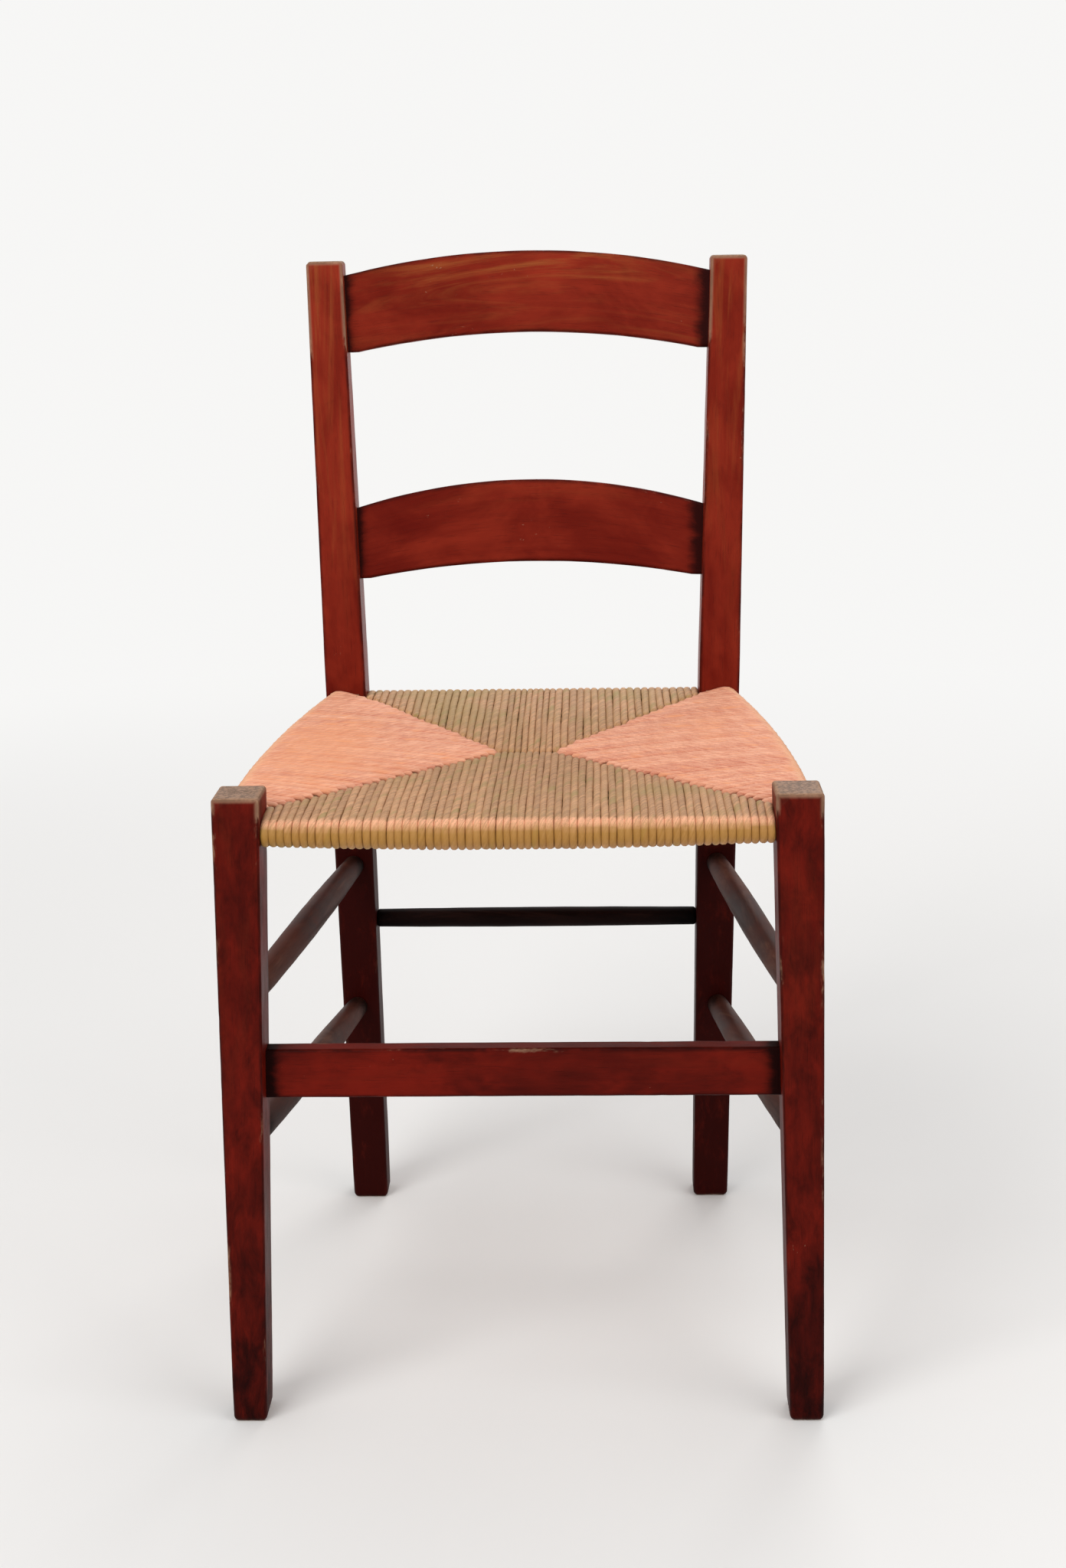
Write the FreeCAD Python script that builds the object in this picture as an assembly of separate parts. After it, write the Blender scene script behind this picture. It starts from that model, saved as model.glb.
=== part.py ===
import FreeCAD, Part
import math
import os

# A ladderback dining chair with a rush seat.
# Millimetres. +Z is up, the chair faces -Y, and left is -X, as seen from the front.
# While it is drawn, y = 0 is the front face of the front legs and z = 0 is the floor.
# The saved pieces are moved so that the origin is on the floor, under the middle of the chair.

# Front legs: square, upright on the outside, tapered on the inner and the back face
LEG_HEIGHT = 465.0
LEG_OUTER_X = 214.0
LEG_TOP_WIDTH = 34.0
LEG_TOP_DEPTH = 40.0
LEG_FOOT_WIDTH = 24.5
LEG_FOOT_DEPTH = 32.0

# Back posts: sawn from a board with a knee at the seat, leaning back above it,
# and spread a little towards the top. A triple is a size at the foot, the knee and the top.
POST_HEIGHT = 830.0
KNEE_HEIGHT = 455.0
KNEE_REACH = 60.0
POST_FRONT_Y = (377.0, 386.0, 423.0)
POST_DEPTH = (29.0, 36.0, 28.0)
POST_WIDTH = (30.0, 35.0, 31.5)
POST_FOOT_OUTER_X = 166.3
POST_SPREAD = 0.029
POST_BEND_STATIONS = (395, 415, 435, 455, 475, 495, 515)

# Eased edges on the square timber: long edges rounded in narrow facets, ends chamfered
EDGE_ROUND = 3.0
EDGE_FACETS = 2
END_CHAMFER = 2.2

# Slats: arched boards, bent backwards, let into the posts behind their front faces
SLAT_THICKNESS = 11.0
SLAT_SETBACK = 10.0
SLAT_BOW = 13.0
SLAT_FLAT = 13.0
SLAT_TENON_LENGTH = 15.0
SLAT_TENON_SHOULDER = 6.0
TOP_SLAT = {"foot_z": 751.5, "end_height": 65.8, "top_rise": 21.1, "bottom_rise": 16.1}
LOWER_SLAT = {"foot_z": 555.5, "end_height": 60.8, "top_rise": 23.6, "bottom_rise": 12.6}

# Front stretcher: a flat board on edge
BOARD_BOTTOM_Z = 239.5
BOARD_HEIGHT = 36.0
BOARD_FRONT_Y = 17.0
BOARD_THICKNESS = 15.0
BOARD_EDGE_ROUND = 1.5
BOARD_TENON_HEIGHT = 24.0
BOARD_TENON_THICKNESS = 8.0
BOARD_TENON_LENGTH = 18.0

# Turned stretchers: thick in the middle, a little thinner at the ends,
# where a short neck leads down to the round tenon.
# A pair of heights is at the front leg and at the back post.
ROD_MIDDLE_RADIUS = 11.0
ROD_END_RADIUS = 8.8
ROD_TENON_RADIUS = 7.0
ROD_TENON_LENGTH = 18.0
ROD_NECK = 2.0
ROD_TAPERS = 6
ROD_FACETS = 20
BACK_ROD_MIDDLE_RADIUS = 8.6
BACK_ROD_END_RADIUS = 7.8
BACK_ROD_TENON_RADIUS = 6.0
BACK_ROD_Z = 252.0
BACK_ROD_Y = 398.0
SIDE_ROD_FRONT_X = 198.0
SIDE_ROD_BACK_X = 158.5
UPPER_ROD_Z = (308.0, 305.0)
LOWER_ROD_Z = (203.0, 177.0)

# Seat rails: rounded on the outside, where the cords turn over them.
# The front rail is deeper in its middle, and the side rails have a belly.
RAIL_DEPTH = 22.0
RAIL_HEIGHT = 12.0
FRONT_RAIL_OUTER_Y = 6.6
FRONT_RAIL_TOP_Z = 442.4
FRONT_RAIL_END_HEIGHT = 10.6
FRONT_RAIL_MIDDLE_HEIGHT = 14.6
BACK_RAIL_OUTER_Y = 417.0
BACK_RAIL_TOP_Z = 450.6
SIDE_RAIL_TOP_Z = (450.0, 456.6)
SIDE_RAIL_OUTER_X = (208.0, 172.6)
SIDE_RAIL_BELLY = 9.0
RAIL_TENON_WIDTH = 10.0
RAIL_TENON_HEIGHT = 7.0
RAIL_TENON_LENGTH = 18.0
SIDE_RAIL_TENON_LENGTH = 13.0
RAIL_SPANS = 4

# Rush seat: one cord wound round the four rails, in two layers that meet at mitred seams.
# A pair of heights is that of the lower and of the upper layer at a point of a seam.
CORD_LAYER = 4.6
CORD_GROOVE = 0.9
SEAT_CLEARANCE = 0.3
POST_LEAN_CLEARANCE = 1.3
SEAM_TIP_X = 20.0
SEAM_TIP_Y = 230.0
FRONT_CORNER_Z = (427.5, 449.5)
BACK_CORNER_Z = (436.0, 455.5)
SEAM_TIP_Z = (424.5, 443.0)
FRONT_CORDS = 29
BRIDGE_CORDS = 8
BACK_CORDS = 20
NOSE_STEPS = 4
PANEL_CROWN = 2.4

# Shop allowances: how far a blank runs past its shoulder before it is cut to it,
# how far a cutting block reaches to each side of a bent board, and when a face counts as flat
CUT_ALLOWANCE = 6.0
CUTTER_REACH = 50.0
FLATNESS = 1e-6

Vec = FreeCAD.Vector
UP = Vec(0, 0, 1)
RAKE = math.atan((POST_FRONT_Y[2] - POST_FRONT_Y[1]) / (POST_HEIGHT - KNEE_HEIGHT))


# Shared shapes

def line(start, end):
    return Part.LineSegment(start, end).toShape()


def arc(start, middle, end):
    return Part.Arc(start, middle, end).toShape()


def polygon(points):
    return Part.makePolygon(points + points[:1])


def flat_faces(a, b, c, d):
    """A four-cornered face, or two triangles where its corners aren't in one plane."""
    normal = (b - a).cross(c - a).normalize()
    if abs(normal.dot(d - a)) < FLATNESS:
        return [Part.Face(polygon([a, b, c, d]))]
    return [Part.Face(polygon([a, b, c])), Part.Face(polygon([a, c, d]))]


def faceted_solid(rings):
    """A solid from outlines with equally many corners, joined by flat faces."""
    faces = [Part.Face(polygon(rings[0])), Part.Face(polygon(rings[-1]))]
    for low, high in zip(rings, rings[1:]):
        for i in range(len(low)):
            faces += flat_faces(low[i - 1], low[i], high[i], high[i - 1])
    solid = Part.Solid(Part.Shell(faces))
    if solid.Volume < 0:
        solid.reverse()
    return solid


def block(low, high):
    size = Vec(*high) - Vec(*low)
    return Part.makeBox(size.x, size.y, size.z, Vec(*low))


def mirrored(shape):
    return shape.mirror(Vec(0, 0, 0), Vec(1, 0, 0))


def eased_section(low, high, z, inset):
    """The outline of a square timber at height z, with its corners rounded in facets."""
    (x0, y0), (x1, y1) = low, high
    radius = EDGE_ROUND - inset
    middles = ((x0 + EDGE_ROUND, y0 + EDGE_ROUND), (x1 - EDGE_ROUND, y0 + EDGE_ROUND),
               (x1 - EDGE_ROUND, y1 - EDGE_ROUND), (x0 + EDGE_ROUND, y1 - EDGE_ROUND))
    points = []
    for corner, (x, y) in enumerate(middles):
        for facet in range(EDGE_FACETS + 1):
            turn = math.pi + math.pi / 2 * (corner + facet / EDGE_FACETS)
            points.append(Vec(x + radius * math.cos(turn), y + radius * math.sin(turn), z))
    return points


def upright_timber(outline, height, bend_stations=()):
    """A leg or post with chamfered ends. outline(z) gives its lowest and highest corner at z."""
    rings = [eased_section(*outline(0), 0, END_CHAMFER)]
    for z in (END_CHAMFER, *bend_stations, height - END_CHAMFER):
        rings.append(eased_section(*outline(z), z, 0))
    rings.append(eased_section(*outline(height), height, END_CHAMFER))
    return faceted_solid(rings)


# Front leg

def leg_depth(z):
    return LEG_FOOT_DEPTH + (LEG_TOP_DEPTH - LEG_FOOT_DEPTH) * z / LEG_HEIGHT


def leg_inner_x(z):
    width = LEG_FOOT_WIDTH + (LEG_TOP_WIDTH - LEG_FOOT_WIDTH) * z / LEG_HEIGHT
    return LEG_OUTER_X - width


def front_leg():
    """The right front leg, without its mortises."""
    return upright_timber(lambda z: ((leg_inner_x(z), 0), (LEG_OUTER_X, leg_depth(z))),
                          LEG_HEIGHT)


# Back post

def along_post(values, z):
    """A size given at the foot, the knee and the top, with the bend at the knee eased."""
    foot, knee, top = values
    lower_slope = (knee - foot) / KNEE_HEIGHT
    upper_slope = (top - knee) / (POST_HEIGHT - KNEE_HEIGHT)
    above = z - KNEE_HEIGHT
    if above <= -KNEE_REACH:
        return knee + lower_slope * above
    if above >= KNEE_REACH:
        return knee + upper_slope * above
    bend = (upper_slope - lower_slope) * (above + KNEE_REACH) ** 2 / (4 * KNEE_REACH)
    return knee + lower_slope * above + bend


def post_outer_x(z):
    return POST_FOOT_OUTER_X + POST_SPREAD * z


def post_inner_x(z):
    return post_outer_x(z) - along_post(POST_WIDTH, z)


def post_outline(z):
    front_y = along_post(POST_FRONT_Y, z)
    return (post_inner_x(z), front_y), (post_outer_x(z), front_y + along_post(POST_DEPTH, z))


def back_post():
    """The right back post, without its mortises."""
    return upright_timber(post_outline, POST_HEIGHT, POST_BEND_STATIONS)


# Slats

def arched(start_x, z, rise):
    """An arc at height z from start_x to the other side, rising to z + rise in the middle."""
    return arc(Vec(start_x, 0, z), Vec(0, 0, z + rise), Vec(-start_x, 0, z))


def slat_outline(size, half_length):
    """The slat seen from the front: a flat at each end of the lower edge, and two arches."""
    arch_x = half_length - SLAT_FLAT
    top = size["end_height"]
    low_right, top_right = Vec(half_length, 0, 0), Vec(half_length, 0, top)
    low_left, top_left = Vec(-half_length, 0, 0), Vec(-half_length, 0, top)
    edges = [line(low_left, Vec(-arch_x, 0, 0)),
             arched(-arch_x, 0, size["bottom_rise"]),
             line(Vec(arch_x, 0, 0), low_right),
             line(low_right, top_right),
             arched(half_length, top, size["top_rise"]),
             line(top_left, low_left)]
    return Part.Face(Part.Wire(edges))


def bent_blank(half_span, height):
    """A board bent backwards, seen from above as two arcs, before its arches are sawn."""
    reach = half_span + SLAT_TENON_LENGTH
    drop = SLAT_BOW * ((reach / half_span) ** 2 - 1)
    depth = Vec(0, SLAT_THICKNESS, 0)
    left, middle, right = Vec(-reach, -drop, 0), Vec(0, SLAT_BOW, 0), Vec(reach, -drop, 0)
    plan = [arc(left, middle, right), line(right, right + depth),
            arc(right + depth, middle + depth, left + depth), line(left + depth, left)]
    return Part.Face(Part.Wire(plan)).extrude(UP * height)


def slat(size, posts):
    """A slat with its tenons, leaning back with the posts."""
    foot_z, end_height = size["foot_z"], size["end_height"]
    half_span = post_inner_x(foot_z + end_height / 2)
    blank = bent_blank(half_span, end_height + size["top_rise"])
    outline = slat_outline(size, half_span + CUT_ALLOWANCE)
    outline.translate(Vec(0, -CUTTER_REACH, 0))
    body = blank.common(outline.extrude(Vec(0, 2 * CUTTER_REACH, 0)))
    end = block((half_span - SLAT_TENON_SHOULDER, -CUTTER_REACH, SLAT_TENON_SHOULDER),
                (half_span + SLAT_TENON_LENGTH, CUTTER_REACH, end_height - SLAT_TENON_SHOULDER))
    tenons = blank.common(end.fuse(mirrored(end)))
    place = Vec(0, along_post(POST_FRONT_Y, foot_z) + SLAT_SETBACK, foot_z)
    for shape in (body, tenons):
        shape.rotate(Vec(0, 0, 0), Vec(1, 0, 0), -math.degrees(RAKE))
        shape.translate(place)
    return body.cut(posts).fuse(tenons).removeSplitter()


# Front stretcher

def front_stretcher(legs):
    """The board between the front legs, with its tenons."""
    top_z = BOARD_BOTTOM_Z + BOARD_HEIGHT
    back_y = BOARD_FRONT_Y + BOARD_THICKNESS
    half_span = leg_inner_x(BOARD_BOTTOM_Z)
    half_blank = half_span + CUT_ALLOWANCE
    board = block((-half_blank, BOARD_FRONT_Y, BOARD_BOTTOM_Z), (half_blank, back_y, top_z))
    lengthways = [e for e in board.Edges if e.BoundBox.XLength > half_blank]
    board = board.makeFillet(BOARD_EDGE_ROUND, lengthways).cut(legs)
    side_shoulder = (BOARD_THICKNESS - BOARD_TENON_THICKNESS) / 2
    edge_shoulder = (BOARD_HEIGHT - BOARD_TENON_HEIGHT) / 2
    reach = half_span + BOARD_TENON_LENGTH
    tenon = block((-reach, BOARD_FRONT_Y + side_shoulder, BOARD_BOTTOM_Z + edge_shoulder),
                  (reach, back_y - side_shoulder, top_z - edge_shoulder))
    return board.fuse(tenon).removeSplitter()


# Turned stretchers

def round_ring(radius, z):
    turns = [2 * math.pi * i / ROD_FACETS for i in range(ROD_FACETS)]
    return [Vec(radius * math.cos(turn), radius * math.sin(turn), z) for turn in turns]


def turned_rod(start, end, middle_radius, end_radius, tenon_radius):
    """A rod between two leg faces, turned in tapers that swell to the middle."""
    span = end - start
    length = span.Length
    rings = [round_ring(tenon_radius, -ROD_TENON_LENGTH), round_ring(tenon_radius, 0)]
    for i in range(ROD_TAPERS + 1):
        t = i / ROD_TAPERS
        swell = (middle_radius - end_radius) * 4 * t * (1 - t)
        rings.append(round_ring(end_radius + swell, ROD_NECK + (length - 2 * ROD_NECK) * t))
    rings.append(round_ring(tenon_radius, length))
    rings.append(round_ring(tenon_radius, length + ROD_TENON_LENGTH))
    rod = faceted_solid(rings)
    rod.Placement = FreeCAD.Placement(start, FreeCAD.Rotation(UP, span))
    return rod


def side_stretcher(heights):
    """A right side stretcher, from the front leg's back face to the post's front face."""
    front_z, back_z = heights
    start = Vec(SIDE_ROD_FRONT_X, leg_depth(front_z), front_z)
    end = Vec(SIDE_ROD_BACK_X, along_post(POST_FRONT_Y, back_z), back_z)
    return turned_rod(start, end, ROD_MIDDLE_RADIUS, ROD_END_RADIUS, ROD_TENON_RADIUS)


def back_stretcher():
    """The thinner rod between the back posts."""
    half_span = post_inner_x(BACK_ROD_Z)
    return turned_rod(Vec(-half_span, BACK_ROD_Y, BACK_ROD_Z),
                      Vec(half_span, BACK_ROD_Y, BACK_ROD_Z),
                      BACK_ROD_MIDDLE_RADIUS, BACK_ROD_END_RADIUS, BACK_ROD_TENON_RADIUS)


# Seat rails

class Rail:
    """A seat rail seen from above: its outer face runs from start to end, with a belly."""

    def __init__(self, start, end, inward, belly, heights):
        self.start, self.end = start, end
        self.inward = inward
        self.belly = belly
        self.heights = heights

    def swell(self, t):
        """0 at the ends of the rail and 1 at its middle."""
        return 1 - (2 * t - 1) ** 2

    def point(self, t, distance, z):
        """A point beside the rail: t along it, and a distance inwards from the outer face."""
        along = self.start + (self.end - self.start) * t
        place = along + self.inward * (distance - self.belly * self.swell(t))
        return Vec(place.x, place.y, z)

    def top(self, t):
        return self.start.z + (self.end.z - self.start.z) * t

    def height(self, t):
        end_height, middle_height = self.heights
        return end_height + (middle_height - end_height) * self.swell(t)

    def depth(self, t):
        return RAIL_DEPTH + self.belly * self.swell(t)

    def nose(self, t, cover):
        """The rounded outside at t, from top to bottom, under a cover of cord."""
        middle_d, middle_z = self.height(t) / 2, self.top(t) - self.height(t) / 2
        radius = self.height(t) / 2 + cover
        turns = [math.pi * i / NOSE_STEPS for i in range(NOSE_STEPS + 1)]
        return [(middle_d - radius * math.sin(turn), middle_z + radius * math.cos(turn))
                for turn in turns]

    def section(self, t):
        """The rail's outline at t: rounded on the outside, square on the inside."""
        top, depth = self.top(t), self.depth(t)
        corners = self.nose(t, 0) + [(depth, top - self.height(t)), (depth, top)]
        return [self.point(t, d, z) for d, z in corners]

    def timber(self, legs, tenon_length):
        """The rail's solid, with its shoulders on the legs and a stub tenon at each end."""
        run_in = CUT_ALLOWANCE / (self.end - self.start).Length
        spacing = (1 + 2 * run_in) / RAIL_SPANS
        rings = [self.section(i * spacing - run_in) for i in range(RAIL_SPANS + 1)]
        body = faceted_solid(rings).cut(legs)
        first, last = self.tenon_middle(0), self.tenon_middle(1)
        way = (last - first).normalize()
        beside = way.cross(UP).normalize() * RAIL_TENON_WIDTH / 2
        above = UP * RAIL_TENON_HEIGHT / 2
        ends = first - way * tenon_length, last + way * tenon_length
        tenons = faceted_solid([[end + beside + above, end - beside + above,
                                 end - beside - above, end + beside - above] for end in ends])
        return body.fuse(tenons).removeSplitter()

    def tenon_middle(self, t):
        return self.point(t, RAIL_DEPTH / 2, self.top(t) - self.height(t) / 2)

    def fraction(self, place):
        """How far along the rail a place is, measured square to the way the cords run."""
        across = Vec(abs(self.inward.y), abs(self.inward.x), 0)
        return (place - self.start).dot(across) / (self.end - self.start).dot(across)

    def distance(self, place):
        """How far inwards from the outer face a place is, along the cords."""
        return (place - self.point(self.fraction(place), 0, place.z)).dot(self.inward)


def rail_lines():
    """The front, the back and the right seat rail, between the faces of the legs."""
    front_x = leg_inner_x(FRONT_RAIL_TOP_Z)
    back_x = post_inner_x(BACK_RAIL_TOP_Z)
    front_z, back_z = SIDE_RAIL_TOP_Z
    plain = (RAIL_HEIGHT, RAIL_HEIGHT)
    front = Rail(Vec(-front_x, FRONT_RAIL_OUTER_Y, FRONT_RAIL_TOP_Z),
                 Vec(front_x, FRONT_RAIL_OUTER_Y, FRONT_RAIL_TOP_Z), Vec(0, 1, 0), 0,
                 (FRONT_RAIL_END_HEIGHT, FRONT_RAIL_MIDDLE_HEIGHT))
    back = Rail(Vec(-back_x, BACK_RAIL_OUTER_Y, BACK_RAIL_TOP_Z),
                Vec(back_x, BACK_RAIL_OUTER_Y, BACK_RAIL_TOP_Z), Vec(0, -1, 0), 0, plain)
    side = Rail(Vec(SIDE_RAIL_OUTER_X[0], leg_depth(front_z), front_z),
                Vec(SIDE_RAIL_OUTER_X[1], along_post(POST_FRONT_Y, back_z), back_z),
                Vec(-1, 0, 0), SIDE_RAIL_BELLY, plain)
    return front, back, side


def seat_rails(legs):
    front, back, side = rail_lines()
    right = side.timber(legs, SIDE_RAIL_TENON_LENGTH)
    return {"seat_rail_front": front.timber(legs, RAIL_TENON_LENGTH),
            "seat_rail_back": back.timber(legs, RAIL_TENON_LENGTH),
            "seat_rail_left": mirrored(right),
            "seat_rail_right": right}


# Rush seat

def seam_node(x, y, heights):
    """An end of a seam: its place on the upper layer, and the lower layer's height."""
    low_z, top_z = heights
    return Vec(x, y, top_z), low_z


def seam_point(first, second, share):
    """A point of the straight seam between two nodes."""
    (top_1, low_1), (top_2, low_2) = first, second
    return top_1 + (top_2 - top_1) * share, low_1 + (low_2 - low_1) * share


def across(corner, tip):
    """A seam that crosses the chair: corner, tip, and the same two on the other side."""
    other_side = [(Vec(-top.x, top.y, top.z), low) for top, low in (corner, tip)]
    return other_side + [tip, corner]


def woven_section(rail, point, groove):
    """One cord's turn round its rail, from the seam above to the seam below."""
    top, low_z = point
    t = rail.fraction(top)
    seam_d, seam_z = rail.distance(top), top.z - groove
    nose = rail.nose(t, CORD_LAYER - groove)
    nose_d, nose_z = nose[0]
    crown = PANEL_CROWN * (seam_d - nose_d) / SEAM_TIP_Y
    middle = (seam_d + nose_d) / 2, (seam_z + nose_z) / 2 + crown
    points = [(seam_d, seam_z), middle] + nose + [(seam_d, low_z + groove)]
    return [rail.point(t, d, z) for d, z in points]


def woven_panel(rail, seam, cords, filling):
    """The cords over one rail: a ridge for each cord and a groove between neighbours."""
    sections = []
    for first, second, count in zip(seam, seam[1:], cords):
        for half in range(2 * count):
            point = seam_point(first, second, half / (2 * count))
            sections.append(woven_section(rail, point, 0 if half % 2 else CORD_GROOVE))
    sections.append(woven_section(rail, seam[-1], CORD_GROOVE))
    return faceted_solid(sections).cut(filling).removeSplitter()


def stuffing_wedge(rail, seam):
    """The packing between the two layers, from the rail's inner face to the seam."""
    sections = []
    for top, low_z in seam:
        t = rail.fraction(top)
        depth, nose_d, seam_d = rail.depth(t), rail.height(t) / 2, rail.distance(top)
        share = (depth - nose_d) / (seam_d - nose_d)
        high, low = rail.top(t), rail.top(t) - rail.height(t)
        seam_high, seam_low = top.z - CORD_LAYER, low_z + CORD_LAYER
        corners = [(depth, high + (seam_high - high) * share), (seam_d, seam_high),
                   (seam_d, seam_low), (depth, low + (seam_low - low) * share)]
        sections.append([rail.point(t, d, z) for d, z in corners])
    return faceted_solid(sections)


def rush_seat(timbers):
    """Four woven panels that meet at the mitred seams, and the stuffing between their layers."""
    front, back, side = rail_lines()
    corner = seam_node(front.end.x - SEAT_CLEARANCE, side.start.y + SEAT_CLEARANCE,
                       FRONT_CORNER_Z)
    back_corner = seam_node(back.end.x - SEAT_CLEARANCE, side.end.y - POST_LEAN_CLEARANCE,
                            BACK_CORNER_Z)
    tip = seam_node(SEAM_TIP_X, SEAM_TIP_Y, SEAM_TIP_Z)
    front_seam = across(corner, tip)
    back_seam = across(back_corner, tip)
    side_seam = [corner, tip, back_corner]

    wedge = stuffing_wedge(side, side_seam)
    stuffing = wedge.fuse([mirrored(wedge), stuffing_wedge(front, front_seam),
                           stuffing_wedge(back, back_seam)]).removeSplitter()
    front_panel = woven_panel(front, front_seam, (FRONT_CORDS, BRIDGE_CORDS, FRONT_CORDS),
                              [timbers["seat_rail_front"], stuffing])
    back_panel = woven_panel(back, back_seam, (BACK_CORDS, BRIDGE_CORDS, BACK_CORDS),
                             [timbers["seat_rail_back"], stuffing])
    right_panel = woven_panel(side, side_seam, (FRONT_CORDS, BACK_CORDS),
                              [timbers["seat_rail_right"], stuffing])
    return {"rush_panel_front": front_panel,
            "rush_panel_back": back_panel,
            "rush_panel_left": mirrored(right_panel),
            "rush_panel_right": right_panel,
            "seat_stuffing": stuffing}


# The chair

def build():
    """All pieces by name. The mortises are cut with the pieces that go into them."""
    parts = {}
    legs = {"left": mirrored(front_leg()), "right": front_leg()}
    posts = {"left": mirrored(back_post()), "right": back_post()}
    all_legs = legs["left"].fuse([legs["right"], posts["left"], posts["right"]])

    parts["top_slat"] = slat(TOP_SLAT, all_legs)
    parts["lower_slat"] = slat(LOWER_SLAT, all_legs)
    parts["front_stretcher"] = front_stretcher(all_legs)
    parts["back_stretcher"] = back_stretcher()
    for level, heights in (("upper", UPPER_ROD_Z), ("lower", LOWER_ROD_Z)):
        rod = side_stretcher(heights)
        parts[level + "_side_stretcher_right"] = rod
        parts[level + "_side_stretcher_left"] = mirrored(rod)
    timbers = seat_rails(all_legs)
    members = list(parts.values()) + list(timbers.values())
    for side in ("left", "right"):
        parts["front_leg_" + side] = legs[side].cut(members)
        parts["back_post_" + side] = posts[side].cut(members)
    return parts | timbers | rush_seat(timbers)


def size(shape):
    return shape.optimalBoundingBox(False, False)


def save(parts):
    """Write each piece, with the origin on the floor under the middle of the chair."""
    os.makedirs("parts", exist_ok=True)
    front_y = min(size(parts[name]).YMin for name in ("front_leg_left", "rush_panel_front"))
    back_y = size(parts["top_slat"]).YMax
    for name, shape in parts.items():
        solid = shape.Solids[0]
        solid.translate(Vec(0, -(front_y + back_y) / 2, 0))
        solid.exportStep("parts/" + name + ".step")
    print("depth", round(back_y - front_y, 2), "height", round(size(parts["top_slat"]).ZMax, 2))
    print("origin to the legs' front faces", round((front_y + back_y) / 2, 3))


save(build())
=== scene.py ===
# %% [markdown]
# # A ladderback chair with a rush seat
#
# This lesson dresses a finished CAD chair for its portrait. The CAD gives the sizes, the joints
# and the place of every piece. Here each piece gets the form and the finish that hands, years
# and use have given the real one: eased and worn edges, stain, polish and twisted rush.
#
# The imported chair is loaded first and never moved.

# %% Load the chair
import math

import bpy
import numpy as np
from mathutils import Matrix, Vector, noise


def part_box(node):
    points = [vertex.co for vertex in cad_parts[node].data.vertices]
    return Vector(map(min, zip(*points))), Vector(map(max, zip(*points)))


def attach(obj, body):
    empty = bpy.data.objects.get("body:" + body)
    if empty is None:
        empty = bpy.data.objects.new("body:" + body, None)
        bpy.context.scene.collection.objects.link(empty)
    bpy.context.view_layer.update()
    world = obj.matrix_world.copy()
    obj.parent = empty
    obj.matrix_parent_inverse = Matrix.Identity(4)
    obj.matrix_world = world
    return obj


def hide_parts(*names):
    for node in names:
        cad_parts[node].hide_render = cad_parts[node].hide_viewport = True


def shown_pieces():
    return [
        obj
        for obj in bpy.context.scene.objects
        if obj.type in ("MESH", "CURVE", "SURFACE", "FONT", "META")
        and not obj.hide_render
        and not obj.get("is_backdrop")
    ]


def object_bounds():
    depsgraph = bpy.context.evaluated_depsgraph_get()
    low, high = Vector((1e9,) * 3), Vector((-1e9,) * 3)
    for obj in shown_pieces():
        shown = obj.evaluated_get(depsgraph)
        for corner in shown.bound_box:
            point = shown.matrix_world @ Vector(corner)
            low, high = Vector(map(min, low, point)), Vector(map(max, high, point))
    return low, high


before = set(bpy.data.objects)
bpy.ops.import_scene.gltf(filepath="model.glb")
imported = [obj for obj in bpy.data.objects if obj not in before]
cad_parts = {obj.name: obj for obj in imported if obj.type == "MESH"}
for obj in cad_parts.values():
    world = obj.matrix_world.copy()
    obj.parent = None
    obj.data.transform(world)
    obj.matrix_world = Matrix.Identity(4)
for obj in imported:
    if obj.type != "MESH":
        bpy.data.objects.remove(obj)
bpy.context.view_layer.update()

# %% [markdown]
# ## The camera
#
# A chair looks right only from the place where it was seen. The camera's place and its three
# directions were found by fitting straight edges of the chair, so they are plain numbers here.
# The lens is shifted down a little, as on a view camera, because the chair stands low in the
# frame while the camera looks almost level. A level camera keeps the legs nearly parallel.

# %% Place the camera
CAMERA_PLACE = Vector((0.0600, -1.7369, 0.8587))
LOOKING = Vector((-0.02971, 0.98991, -0.13855))
TO_THE_RIGHT = Vector((0.99948, 0.02764, -0.01684))
LENS_MM = 51.16
LENS_SHIFT = -0.158

camera_data = bpy.data.cameras.new("camera")
camera_data.lens = LENS_MM
camera_data.shift_y = LENS_SHIFT
camera = bpy.data.objects.new("camera", camera_data)
bpy.context.scene.collection.objects.link(camera)
backwards = -LOOKING.normalized()
upwards = backwards.cross(TO_THE_RIGHT).normalized()
rightwards = upwards.cross(backwards)
turn = Matrix((rightwards, upwards, backwards)).transposed()
camera.matrix_world = Matrix.Translation(CAMERA_PLACE) @ turn.to_4x4()
bpy.context.scene.camera = camera

# %% [markdown]
# ## The studio
#
# The chair stands on a plain pale floor that melts into the background a few steps away. A
# large soft lamp high on the left is the window of the studio, a weaker one fills the right
# side, and a third behind the chair lifts its edges off the background. The world is an even
# pale grey that fills the shadows. The camera sees it lighter, and so do reflections, which
# keeps the background white without more light on the chair.

# %% Lay the floor
FLOOR_REACH = 30.0
FLOOR_COLOUR = (0.82, 0.81, 0.79, 1)
BACKGROUND = (0.93, 0.925, 0.915, 1)
FADE = (1.0, 2.6)
FLOOR_ROUGHNESS = 0.85


def seen_not_lit(tree):
    """1 for rays by which the camera, a reflection or glass sees a place, 0 for light on it."""
    rays = tree.nodes.new("ShaderNodeLightPath").outputs
    share = rays["Is Camera Ray"]
    for kind in ("Is Glossy Ray", "Is Transmission Ray"):
        either = tree.nodes.new("ShaderNodeMath")
        either.operation = "MAXIMUM"
        tree.links.new(share, either.inputs[0])
        tree.links.new(rays[kind], either.inputs[1])
        share = either.outputs[0]
    return share


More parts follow.
